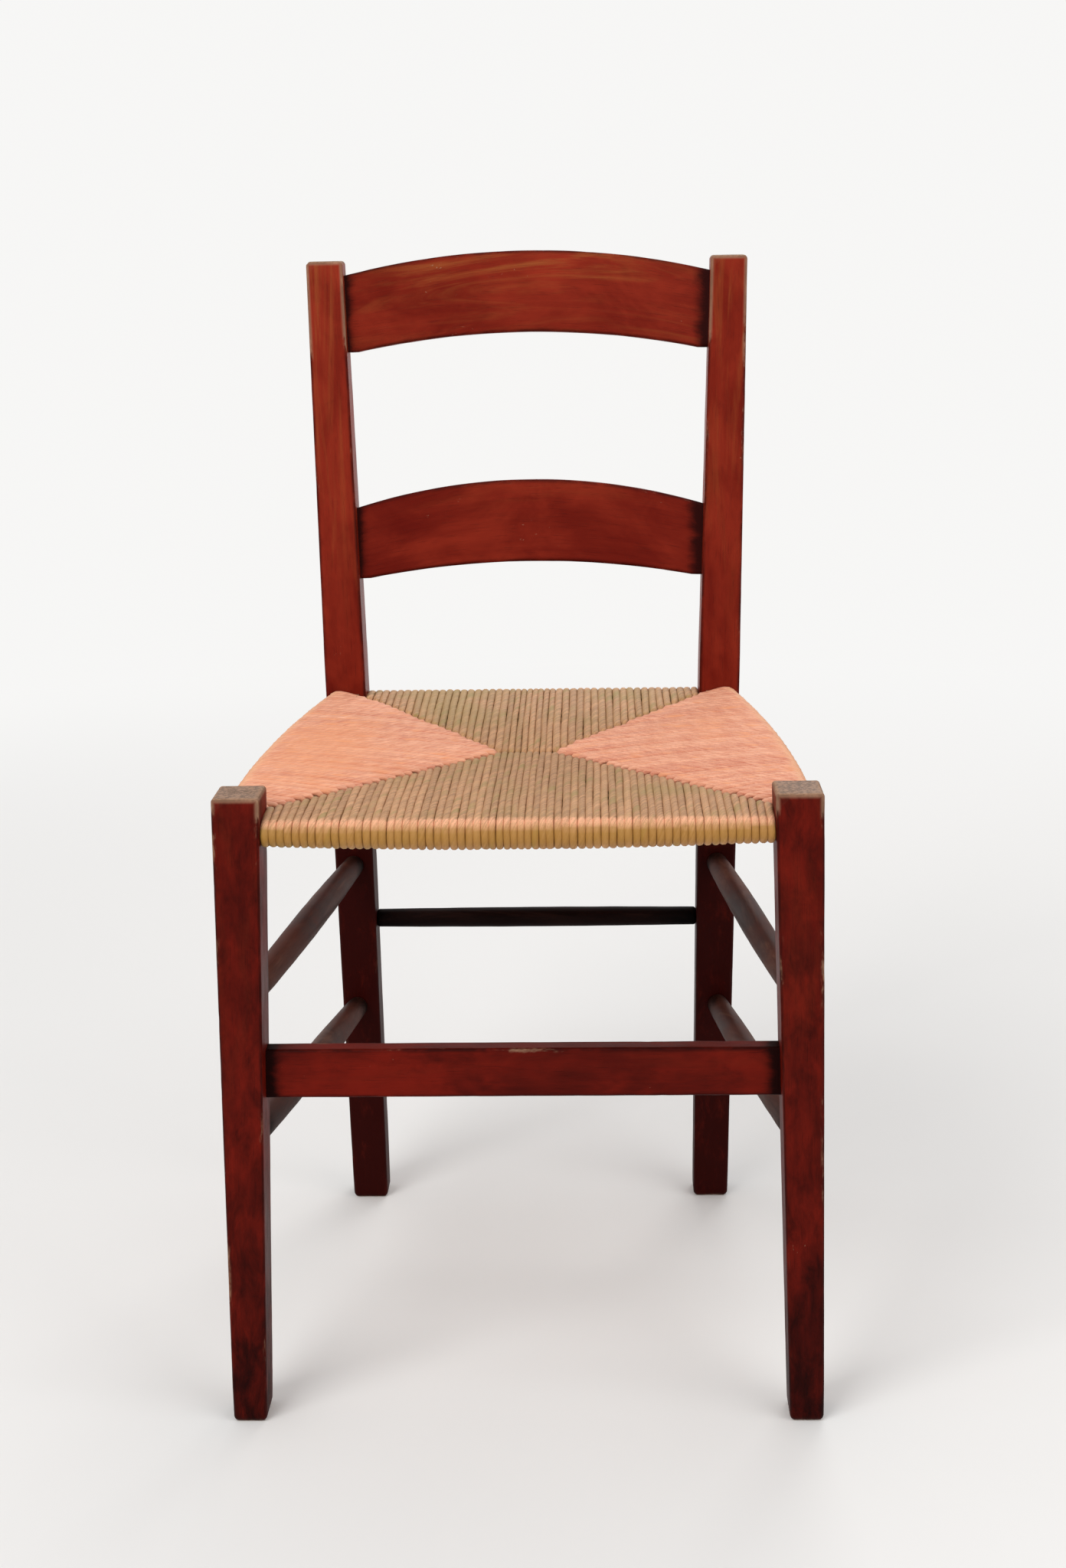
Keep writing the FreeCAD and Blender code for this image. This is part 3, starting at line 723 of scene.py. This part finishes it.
def cord_line(rail, place, low_z, lift):
    """The middle line of a turn, as distances from the rail's face and heights."""
    t = rail.fraction(place)
    half = CORD_LAYER / 2
    gap = BRIDGE_GAP if abs(place[0]) < TIP[0][0] else SEAM_GAP
    seam = (place - rail.face(t)) @ rail.inward - half - gap
    nose = rail.height(t) / 2
    nose_z = rail.start[2] + (rail.end[2] - rail.start[2]) * t - nose
    turns = np.linspace(0, math.pi, 9)
    roll = np.stack([nose - (nose + half) * np.sin(turns),
                     nose_z + (nose + half) * np.cos(turns)], 1)
    high, low = place[2] - half + lift, low_z + half
    near = max(seam - DIVE_CORNER, (seam + nose) / 2)
    runs = []
    for height, roll_z, crown in ((high, roll[0, 1], CROWN), (low, roll[-1, 1], 0)):
        share = np.linspace(0, 1, 7)[1:-1]
        middle = np.stack([near + (nose - near) * share,
                           height + (roll_z - height) * share
                           + 4 * crown * share * (1 - share) * (seam - nose) / CROWN_RUN], 1)
        runs.append(np.concatenate([[(near, height)], middle]))
    line = np.concatenate([[(seam, high - DIVE), (seam, high - DIVE_CORNER), (seam, high)],
                           runs[0], roll, runs[1][::-1],
                           [(seam, low), (seam, low + DIVE_CORNER), (seam, low + DIVE)]])
    return t, *even_steps(cut_corners(line, ROUNDINGS), CORD_STEP)


print("a rounded corner has", len(cut_corners(np.eye(3, 2), ROUNDINGS)), "points")

# %% [markdown]
# No two turns of a hand-twisted cord are alike. Each gets a slightly different thickness and
# height, and wanders a little between its neighbours. Its two strands show as a slow twist in
# the outline, and it narrows where it dives into the seam. The points keep a place on the
# twisted bundle of leaves, so that the fibres of the finish follow the twist, and a tone of
# their own. Two marks say where the cord passes the crest of the rail, which gets a painted
# highlight, and where it falls down the rail's outer face, which gets painted shade.

# %% Wind the panels
WANDER, WANDER_LENGTHS = 0.00022, (0.031, 0.013)
LIFT, LIFT_LENGTH = 0.00022, 0.019
LEAN_REACH = 0.006
STRAND_SWELL = 0.06
WIDTH_SPREAD = (0.96, 1.04)
SLIM, SLIM_REACH = 0.3, 0.008
LOOSE_SHARE = 0.4
CREST_FROM, CREST_TO, FACE_FROM = (0.02, 0.30), (0.55, 0.95), (0.4, 1.0)


def wind_cord(rail, place, low_z, width, chance, loose, lean):
    """One turn of cord as rings of points, with its fibre places, tone and marks."""
    t, line, at = cord_line(rail, place, low_z,
                            loose + (LIFT + LOOSE_SHARE * loose) * chance.normal())
    base = rail.face(t)
    inward, sideways = rail.inward, np.cross(rail.inward, (0, 0, 1))
    phase = chance.uniform(0, 2 * math.pi, 4)
    slow, quick = (at / length for length in WANDER_LENGTHS)
    wander = WANDER * (np.sin(slow + phase[0]) + 0.6 * np.sin(quick + phase[1]))
    wander += lean * np.exp(-at / LEAN_REACH)
    centre = base + line[:, :1] * inward + wander[:, None] * sideways
    centre[:, 2] = line[:, 1] + 0.4 * WANDER * np.sin(at / LIFT_LENGTH + phase[2])
    ahead = np.gradient(line, axis=0)
    ahead /= np.linalg.norm(ahead, axis=1)[:, None]
    outward = -ahead[:, 1:] * inward
    outward[:, 2] = ahead[:, 0]
    turns = np.linspace(0, 2 * math.pi, CORD_SIDES, endpoint=False)
    twisted = turns[None, :] + (2 * math.pi * at / TWIST_LENGTH + phase[3])[:, None]
    swell = 1 + STRAND_SWELL * np.cos(2 * twisted)
    from_end = np.minimum(at, at[-1] - at)
    slim = 1 - SLIM * (1 - ramp(from_end, DIVE_CORNER, DIVE_CORNER + SLIM_REACH))
    half_width = width / 2 * chance.uniform(*WIDTH_SPREAD) * slim[:, None]
    rings = (centre[:, None] + (half_width * swell * np.cos(turns))[..., None] * sideways
             + (CORD_LAYER / 2 * swell * np.sin(turns))[..., None] * outward[:, None])
    along = np.repeat(at[:, None], CORD_SIDES, 1)
    fibre = np.stack([np.cos(twisted), np.sin(twisted), along], -1)
    fibre[..., 2] += chance.uniform(0, 40)
    down = np.clip(-ahead[:, 1], 0, 1)
    falling = np.where(from_end > 2 * DIVE_CORNER, down, 0)
    crest = ramp(falling, *CREST_FROM) * (1 - ramp(falling, *CREST_TO)) * (ahead[:, 0] < 0)
    marks = [np.repeat(value, CORD_SIDES) for value in (crest, ramp(falling, *FACE_FROM))]
    return (rings.reshape(-1, 3), fibre.reshape(-1, 3),
            np.full(rings.size // 3, chance.random()), *marks)


def wind_panel(name, slot, rail, nodes, counts, seed, closeness, loose=0.0, lean=0.0, side=1):
    """All turns over one rail, as one piece."""
    chance = np.random.default_rng(seed)
    turns, cells, total, length = [], [], 0, 0
    for place, low_z, pitch in seam_places(nodes, counts):
        width = closeness * abs(pitch @ rail.across)
        cord = wind_cord(rail, place, low_z, width, chance, loose,
                         lean if pitch[1] > 0 else -lean)
        cells += [[corner + total for corner in cell]
                  for cell in tube_cells(len(cord[0]) // CORD_SIDES, CORD_SIDES)]
        total += len(cord[0])
        turns.append(cord)
        length += np.ptp(cord[1][:, 2])
    points, fibre, tone, crest, face = (np.concatenate(values) for values in zip(*turns))
    make_piece("cords_" + name, points * (side, 1, 1), [cell[::side] for cell in cells], slot,
               "rush_panel_" + name, fibre=fibre, tone=tone, crest=crest, face=face)
    print(len(turns), "turns,", round(length, 1), "m of cord")


wind_panel("front", "rush_green", front_rail, front_seam,
           (FRONT_CORDS, BRIDGE_CORDS, FRONT_CORDS), 21, 1.09)
wind_panel("back", "rush_green", back_rail, back_seam,
           (BACK_CORDS, BRIDGE_CORDS, BACK_CORDS), 22, 1.05)
for side, label in ((-1, "left"), (1, "right")):
    wind_panel(label, "rush_golden", right_rail, side_seam, (FRONT_CORDS, BACK_CORDS),
               23 + side, 0.95, loose=0.0008, lean=0.0015, side=side)

# %% [markdown]
# ## The stuffing
#
# Loose straw is pushed between the two layers while the seat is wound, which gives it its
# firm, slightly domed shape. Only glimpses of it show between the cords. The CAD wedge is cut
# into small cells and roughened, so that no smooth plane shows there.

# %% Roughen the stuffing
STRAW_CELL = 0.008
STRAW_ROUGHNESS = 0.0009

stuffing_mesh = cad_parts["seat_stuffing"].data.copy()
stuffing_mesh.name = "straw"
stuffing_mesh.materials.clear()
straw = bpy.data.objects.new("straw", stuffing_mesh)
bpy.context.scene.collection.objects.link(straw)
remesh = straw.modifiers.new("cells", "REMESH")
remesh.mode = "VOXEL"
remesh.voxel_size = STRAW_CELL / 2
view_layer = bpy.context.evaluated_depsgraph_get()
straw.data = bpy.data.meshes.new_from_object(straw.evaluated_get(view_layer))
straw.modifiers.clear()
normals = [point.normal.copy() for point in straw.data.vertices]
for point, normal in zip(straw.data.vertices, normals):
    shake = noise.noise_vector(point.co / STRAW_CELL) * STRAW_ROUGHNESS
    point.co += shake - normal * STRAW_ROUGHNESS
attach(straw, "root")
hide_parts("seat_stuffing")
print("straw cells:", len(straw.data.polygons))

# %% [markdown]
# ## Small tools for finishes
#
# A finish is a tree of nodes. These helpers add a node with its inputs in one line, so that a
# finish reads from top to bottom like a recipe. Effects that several finishes share are node
# groups, built once.

# %% Node helpers
def add(tree, kind, inputs=None, **settings):
    """A shader node with its settings, and its inputs given as numbers or as other sockets."""
    made = tree.nodes.new("ShaderNode" + kind)
    for label, value in settings.items():
        setattr(made, label, value)
    for label, value in (inputs or {}).items():
        if isinstance(value, bpy.types.NodeSocket):
            tree.links.new(value, made.inputs[label])
        else:
            made.inputs[label].default_value = value
    return made


def stored(tree, label, output="Fac"):
    """What the points of the mesh remember under that name."""
    return add(tree, "Attribute", attribute_name=label).outputs[output]


def number(tree, operation, *values):
    """The result of one sum on numbers or sockets."""
    return add(tree, "Math", dict(enumerate(values)), operation=operation).outputs[0]


def rise(tree, value, start, end):
    """0 before start and 1 after end, easing between them."""
    return add(tree, "MapRange", {"Value": value, "From Min": start, "From Max": end},
               interpolation_type="SMOOTHSTEP").outputs["Result"]


def mixed(tree, share, first, second, blend_type="MIX"):
    """Two colours mixed by a share."""
    made = add(tree, "Mix", data_type="RGBA", blend_type=blend_type)
    for label, value in (("Factor_Float", share), ("A_Color", first), ("B_Color", second)):
        socket = next(s for s in made.inputs if s.identifier == label)
        if isinstance(value, bpy.types.NodeSocket):
            tree.links.new(value, socket)
        else:
            socket.default_value = value
    return next(s for s in made.outputs if s.identifier == "Result_Color")


def stretched_noise(tree, place, scale, detail=3.0, roughness=0.5, distortion=0.0):
    """Noise with a scale of its own along each direction of the board."""
    moved = add(tree, "VectorMath", {0: place, 1: scale}, operation="MULTIPLY").outputs[0]
    return add(tree, "TexNoise", {"Vector": moved, "Scale": 1.0, "Detail": detail,
                                  "Roughness": roughness, "Distortion": distortion}).outputs[0]


def new_group(name, inputs, outputs):
    """A node group with named inputs and outputs."""
    tree = bpy.data.node_groups.new(name, "ShaderNodeTree")
    for label, kind in inputs.items():
        tree.interface.new_socket(label, in_out="INPUT", socket_type="NodeSocket" + kind)
    for label, kind in outputs.items():
        tree.interface.new_socket(label, in_out="OUTPUT", socket_type="NodeSocket" + kind)
    return tree, tree.nodes.new("NodeGroupInput").outputs, tree.nodes.new("NodeGroupOutput").inputs


def srgb(red, green, blue):
    """A colour given as a screen shows it, in the linear numbers that a shader takes."""
    shares = [c / 255 for c in (red, green, blue)]
    return (*[s / 12.92 if s <= 0.04045 else ((s + 0.055) / 1.055) ** 2.4 for s in shares], 1)


print("a screen's middle grey is", round(srgb(128, 128, 128)[0], 3), "in linear light")

# %% [markdown]
# ## Grain
#
# Stained wood shows broad growth figure, fine pores that hold more stain, and cloudy patches
# where the stain took unevenly. All three are noise in the board's own coordinates, of which
# the third runs along it. Figure and pores are stretched far that way, the clouds a little.

# %% The grain group
tree, given, out = new_group("Grain", {"Board": "Vector"},
                             {"Figure": "Float", "Pores": "Float", "Clouds": "Float"})
figure = stretched_noise(tree, given["Board"], (60, 45, 4), 3.0, 0.55, 1.2)
pores = stretched_noise(tree, given["Board"], (1500, 1500, 42), 2.0, 0.6)
clouds = stretched_noise(tree, given["Board"], (22, 22, 13), 4.0, 0.6, 0.5)
tree.links.new(rise(tree, figure, 0.32, 0.68), out["Figure"])
tree.links.new(rise(tree, pores, 0.56, 0.74), out["Pores"])
tree.links.new(rise(tree, clouds, 0.30, 0.72), out["Clouds"])
grain_group = tree
print(tree.name, "puts out", [s.name for s in out if s.name])

# %% [markdown]
# ## Wear
#
# Hands, clothes and shoes rub the stain off the edges first. The share of bare wood is high
# at an edge and falls off within a few millimetres, broken up by noise, so that it comes and
# goes along the edge. Small knocks in the middle of a face show as pale nicks.

# %% The wear group
tree, given, out = new_group("Wear", {"Board": "Vector", "Edge": "Float", "Width": "Float",
                                      "Amount": "Float", "Knocks": "Float"},
                             {"Rubbed": "Float", "Nicks": "Float"})
near = number(tree, "SUBTRACT", 1.0, number(tree, "DIVIDE", given["Edge"], given["Width"]))
patches = stretched_noise(tree, given["Board"], (55, 55, 16), 4.0, 0.65)
speckle = stretched_noise(tree, given["Board"], (600, 600, 220), 2.0, 0.6)
rough_patches = number(tree, "ADD", patches, number(tree, "MULTIPLY", speckle, 0.25))
start = number(tree, "SUBTRACT", 1.05, given["Amount"])
rubbed = number(tree, "MULTIPLY", rise(tree, near, 0.0, 1.0),
                rise(tree, rough_patches, start, number(tree, "ADD", start, 0.16)))
knock_noise = stretched_noise(tree, given["Board"], (260, 260, 120), 2.0, 0.5, 1.5)
knock_place = stretched_noise(tree, given["Board"], (30, 30, 14), 2.0)
nicks = number(tree, "MULTIPLY", rise(tree, knock_noise, 0.70, 0.76),
               rise(tree, knock_place, 0.62, 0.72))
tree.links.new(rubbed, out["Rubbed"])
tree.links.new(number(tree, "MULTIPLY", nicks, given["Knocks"]), out["Nicks"])
wear_group = tree
print(tree.name, "takes", [s.name for s in given if s.name])

# %% [markdown]
# ## Stained and polished wood
#
# The chair is stained a deep mahogany red and polished. Stain is a thin dye, so the colour
# mixes between a lighter and a darker red with the clouds and the figure, and the pores stay
# darkest. Where the stain has worn thin, and where light from above is painted on, the red is
# lighter and golden streaks show. Grime and painted shade break the colour into darker patches
# and turn the wood nearly black towards the feet and below the seat. The arrises that are not
# rubbed are darkened too. The bare end grain at the tops is grey-brown.
# Roughness rises wherever the polish is gone, and old polish mirrors the lamps only faintly.

# %% Stained wood
POLISH = 0.05
RUBBED_WIDTH = 0.0042
ARRIS = (0.0005, 0.0036)
WOOD_RELIEF = 0.00022


def stained_wood(name, light, dark, streak, bare, end_colour, streaks, wear, gloss, grime):
    material, tree, shader = new_finish(name)
    board = stored(tree, "grain", "Vector")
    edge = stored(tree, "edge")
    end = stored(tree, "end")
    dirt_and_shade = stored(tree, "grime")
    gold = stored(tree, "gold")
    rub = stored(tree, "rub")
    grain = add(tree, "Group", node_tree=grain_group)
    tree.links.new(board, grain.inputs["Board"])
    worn = add(tree, "Group", {"Board": board, "Edge": edge, "Width": RUBBED_WIDTH,
                               "Knocks": 0.7, "Amount": number(tree, "MULTIPLY", rub, wear)},
               node_tree=wear_group)
    tone = number(tree, "ADD", number(tree, "MULTIPLY", grain.outputs["Figure"], 0.25),
                  number(tree, "MULTIPLY", grain.outputs["Clouds"], 0.75))
    # This share lightens the red: thin worn stain and, on most pieces, painted light from above.
    tone = number(tree, "ADD", number(tree, "MULTIPLY", tone, 0.75),
                  number(tree, "MULTIPLY", gold, 0.25))
    colour = mixed(tree, tone, dark, light)
    thin = stretched_noise(tree, board, (42, 26, 5), 4.0, 0.6, 2.2)
    thin = number(tree, "MULTIPLY", rise(tree, thin, 0.44, 0.74),
                  number(tree, "MULTIPLY", gold, streaks))
    colour = mixed(tree, thin, colour, streak)
    pores = number(tree, "MULTIPLY", grain.outputs["Pores"], 0.45)
    colour = mixed(tree, pores, colour, [c * 0.35 for c in dark[:3]] + [1])
    broken = stretched_noise(tree, board, (65, 65, 32), 5.0, 0.7, 0.4)
    # This mask darkens the colour with grime and with painted shade, such as under the seat and at
    # the slat ends.
    dirt_and_shade_mask = rise(tree, number(tree, "ADD", number(tree, "MULTIPLY", dirt_and_shade, grime), broken),
                 0.56, 1.22)
    arris = number(tree, "SUBTRACT", 1.0, rise(tree, edge, *ARRIS))
    arris = number(tree, "MULTIPLY", arris, rise(tree, broken, 0.25, 0.60))
    dirt_and_shade_mask = number(tree, "MAXIMUM", dirt_and_shade_mask, number(tree, "MULTIPLY", arris, 0.78))
    colour = mixed(tree, dirt_and_shade_mask, colour, [c * 0.22 for c in dark[:3]] + [1])
    rings = stretched_noise(tree, board, (420, 420, 3), 3.0, 0.6)
    end_tone = mixed(tree, rise(tree, rings, 0.35, 0.65), end_colour,
                     [c * 0.45 for c in end_colour[:3]] + [1])
    colour = mixed(tree, rise(tree, end, 0.45, 0.85), colour, end_tone)
    bare_share = number(tree, "MAXIMUM", worn.outputs["Rubbed"], worn.outputs["Nicks"])
    bare_share = number(tree, "MULTIPLY", bare_share,
                        number(tree, "SUBTRACT", 1.0, number(tree, "MULTIPLY", dirt_and_shade_mask, 0.7)))
    colour = mixed(tree, number(tree, "MULTIPLY", bare_share, 0.8), colour, bare)
    tree.links.new(colour, shader.inputs["Base Color"])

    matt = number(tree, "ADD", number(tree, "MULTIPLY", bare_share, 0.25),
                  number(tree, "MULTIPLY", dirt_and_shade_mask, 0.14))
    matt = number(tree, "ADD", matt, number(tree, "MULTIPLY", grain.outputs["Clouds"], 0.10))
    tree.links.new(number(tree, "ADD", gloss, matt), shader.inputs["Roughness"])
    height = number(tree, "SUBTRACT", number(tree, "MULTIPLY", grain.outputs["Figure"], 0.25),
                    number(tree, "ADD", grain.outputs["Pores"],
                           number(tree, "MULTIPLY", worn.outputs["Nicks"], 2.0)))
    bump = add(tree, "Bump", {"Height": height, "Strength": 0.35, "Distance": WOOD_RELIEF})
    tree.links.new(bump.outputs["Normal"], shader.inputs["Normal"])
    shader.inputs["Specular IOR Level"].default_value = POLISH
    return material


BARE_WOOD = srgb(176, 140, 112)
END_GRAIN = srgb(158, 124, 100)
polished = stained_wood("polished_red", srgb(140, 43, 25), srgb(92, 15, 7),
                        srgb(148, 80, 40), BARE_WOOD, END_GRAIN, 0.5, 0.50, 0.30, 0.9)
# The legs and the board, low down, get a darker copy of the polished red: painted shade of light
# falling from above.
shaded_red_finish = stained_wood("leg_red", srgb(120, 25, 12), srgb(60, 8, 4), srgb(116, 48, 24),
                           BARE_WOOD, END_GRAIN, 0.3, 0.50, 0.34, 1.0)
rod_finish = stained_wood("rod_brown", srgb(84, 46, 36), srgb(38, 15, 10), srgb(120, 84, 68),
                          BARE_WOOD, END_GRAIN, 0.6, 0.30, 0.45, 0.6)
# The back rod, deep in the seat's shadow, gets a near-black copy of the rod finish: painted shade.
shaded_back_rod_finish = stained_wood("rod_black", srgb(22, 6, 4), srgb(10, 2, 1), srgb(70, 42, 36),
                               BARE_WOOD, END_GRAIN, 0.4, 0.30, 0.50, 0.6)

FINISHES = {"leg_": shaded_red_finish, "post_": polished, "bent_": polished, "board_": shaded_red_finish,
            "rod_upper": rod_finish, "rod_lower": rod_finish, "rod_back": shaded_back_rod_finish}
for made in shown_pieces():
    for start, finish in FINISHES.items():
        if made.name.startswith(start):
            made.data.materials.append(finish)
            print(made.name, "is finished in", finish.name)

# %% [markdown]
# ## The rails inside
#
# The seat rails were never stained, because rush covers them. Only a glimpse shows between
# cords. They keep their CAD form and get plain, dusty wood, in object coordinates, because
# they have no stored grain.

# %% Bare rails
bare_rail, tree, shader = new_finish("bare_rail")
place = add(tree, "TexCoord").outputs["Object"]
grain = add(tree, "Group", {"Board": place}, node_tree=grain_group)
colour = mixed(tree, grain.outputs["Figure"], srgb(120, 88, 58), srgb(158, 122, 86))
tree.links.new(colour, shader.inputs["Base Color"])
tree.links.new(number(tree, "ADD", 0.7, number(tree, "MULTIPLY", grain.outputs["Clouds"], 0.2)),
               shader.inputs["Roughness"])
for name in ("front", "back", "left", "right"):
    rail_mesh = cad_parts["seat_rail_" + name].data
    rail_mesh.materials.clear()
    rail_mesh.materials.append(bare_rail)
print("rails finished in", bare_rail.name)

# %% [markdown]
# ## Rush
#
# A rush cord is a bundle of flat leaves, twisted wet and dried. Each leaf runs along the twist
# as a streak of its own colour, from straw to green or brown, with a waxy shine. The streaks
# are noise on the twisted bundle's own places, stretched along it. Whole cords differ too, and
# each changes slowly along its length, because new leaves are added all the time. The same
# group serves the greener front and back fields and the warmer sides.
#
# Over that, each field has patches of its odd colour. The cords get a painted highlight in
# streaks at the crest of the rail, and painted shade, a deeper colour, on the outer face below it.

# %% The rush group
tree, given, out = new_group("Twisted rush", {"Fibre": "Vector", "Tone": "Float",
                                              "Pale": "Color", "Deep": "Color", "Odd": "Color"},
                             {"Colour": "Color", "Roughness": "Float", "Height": "Float"})
leaves = stretched_noise(tree, given["Fibre"], (2.1, 2.1, 9), 3.0, 0.6)
strands = stretched_noise(tree, given["Fibre"], (6.5, 6.5, 26), 3.0, 0.65)
lengths = stretched_noise(tree, given["Fibre"], (0.35, 0.35, 13), 2.0, 0.5)
tone = number(tree, "ADD", number(tree, "MULTIPLY", rise(tree, leaves, 0.3, 0.7), 0.5),
              number(tree, "MULTIPLY", rise(tree, strands, 0.3, 0.7), 0.25))
tone = number(tree, "ADD", tone, number(tree, "MULTIPLY", given["Tone"], 0.25))
colour = mixed(tree, tone, given["Deep"], given["Pale"])
odd = number(tree, "MULTIPLY", rise(tree, lengths, 0.56, 0.72), 0.65)
colour = mixed(tree, odd, colour, given["Odd"])
tree.links.new(colour, out["Colour"])
tree.links.new(number(tree, "ADD", 0.46, number(tree, "MULTIPLY", strands, 0.3)),
               out["Roughness"])
tree.links.new(number(tree, "ADD", number(tree, "MULTIPLY", leaves, 0.7), strands),
               out["Height"])
rush_group = tree
print(tree.name, "is ready")

# %% Rush for the four fields
RUSH_RELIEF = 0.0006


def rush(name, pale, deep, odd, crest_highlight_colour, face_shade_colour):
    material, tree, shader = new_finish(name)
    twisted = add(tree, "Group", {"Pale": pale, "Deep": deep, "Odd": odd},
                  node_tree=rush_group)
    fibre = stored(tree, "fibre", "Vector")
    tone = stored(tree, "tone")
    place = add(tree, "TexCoord").outputs["Object"]
    odd_patches = stretched_noise(tree, place, (9, 9, 9), 4.0, 0.6)
    odd_patches = number(tree, "MULTIPLY", rise(tree, odd_patches, 0.46, 0.66), 0.5)
    tree.links.new(fibre, twisted.inputs["Fibre"])
    tree.links.new(tone, twisted.inputs["Tone"])
    crest = stored(tree, "crest")
    face = stored(tree, "face")
    colour = mixed(tree, odd_patches, twisted.outputs["Colour"], odd)
    # Painted shade: the cords take a deeper colour where they fall down the rail's outer face.
    colour = mixed(tree, number(tree, "MULTIPLY", face, 0.8), colour, face_shade_colour)
    # Painted highlight: pale streaks on the cords at the crest of the rail, brighter on some
    # strands than others.
    crest_glint = rise(tree, twisted.outputs["Height"], 0.65, 1.05)
    crest_glint = number(tree, "ADD", 0.35, number(tree, "MULTIPLY", crest_glint, 0.65))
    colour = mixed(tree, number(tree, "MULTIPLY", crest, crest_glint), colour, crest_highlight_colour)
    tree.links.new(colour, shader.inputs["Base Color"])
    tree.links.new(twisted.outputs["Roughness"], shader.inputs["Roughness"])
    bump = add(tree, "Bump", {"Height": twisted.outputs["Height"], "Strength": 0.8,
                              "Distance": RUSH_RELIEF})
    tree.links.new(bump.outputs["Normal"], shader.inputs["Normal"])
    return material


# The last two colours of each field are the painted highlight at the crest and the painted shade
# on the outer face.
green_rush = rush("rush_green", srgb(222, 168, 120), srgb(144, 102, 62), srgb(156, 134, 70),
                  srgb(250, 184, 144), srgb(162, 112, 24))
golden_rush = rush("rush_golden", srgb(255, 194, 158), srgb(198, 108, 78), srgb(238, 158, 110),
                   srgb(236, 178, 136), srgb(190, 132, 80))
for name, finish in (("front", green_rush), ("back", green_rush), ("left", golden_rush),
                     ("right", golden_rush)):
    bpy.data.objects["cords_" + name].data.materials.append(finish)
print("rush on four fields")

# %% Straw inside
loose_straw, tree, shader = new_finish("loose_straw")
place = add(tree, "TexCoord").outputs["Object"]
stalks = stretched_noise(tree, place, (420, 60, 60), 3.0, 0.6, 1.0)
colour = mixed(tree, rise(tree, stalks, 0.35, 0.65), srgb(78, 56, 32), srgb(132, 102, 62))
tree.links.new(colour, shader.inputs["Base Color"])
tree.links.new(number(tree, "ADD", 0.7, number(tree, "MULTIPLY", stalks, 0.25)),
               shader.inputs["Roughness"])
straw.data.materials.clear()
straw.data.materials.append(loose_straw)
print("straw finished in", loose_straw.name)

# %% [markdown]
# ## Sizes and the end
#
# The box of the dressed chair is printed.

# %% Write the sizes and finish
low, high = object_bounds()
print("visual box, metres:", [round(v, 4) for v in (*low, *high)])
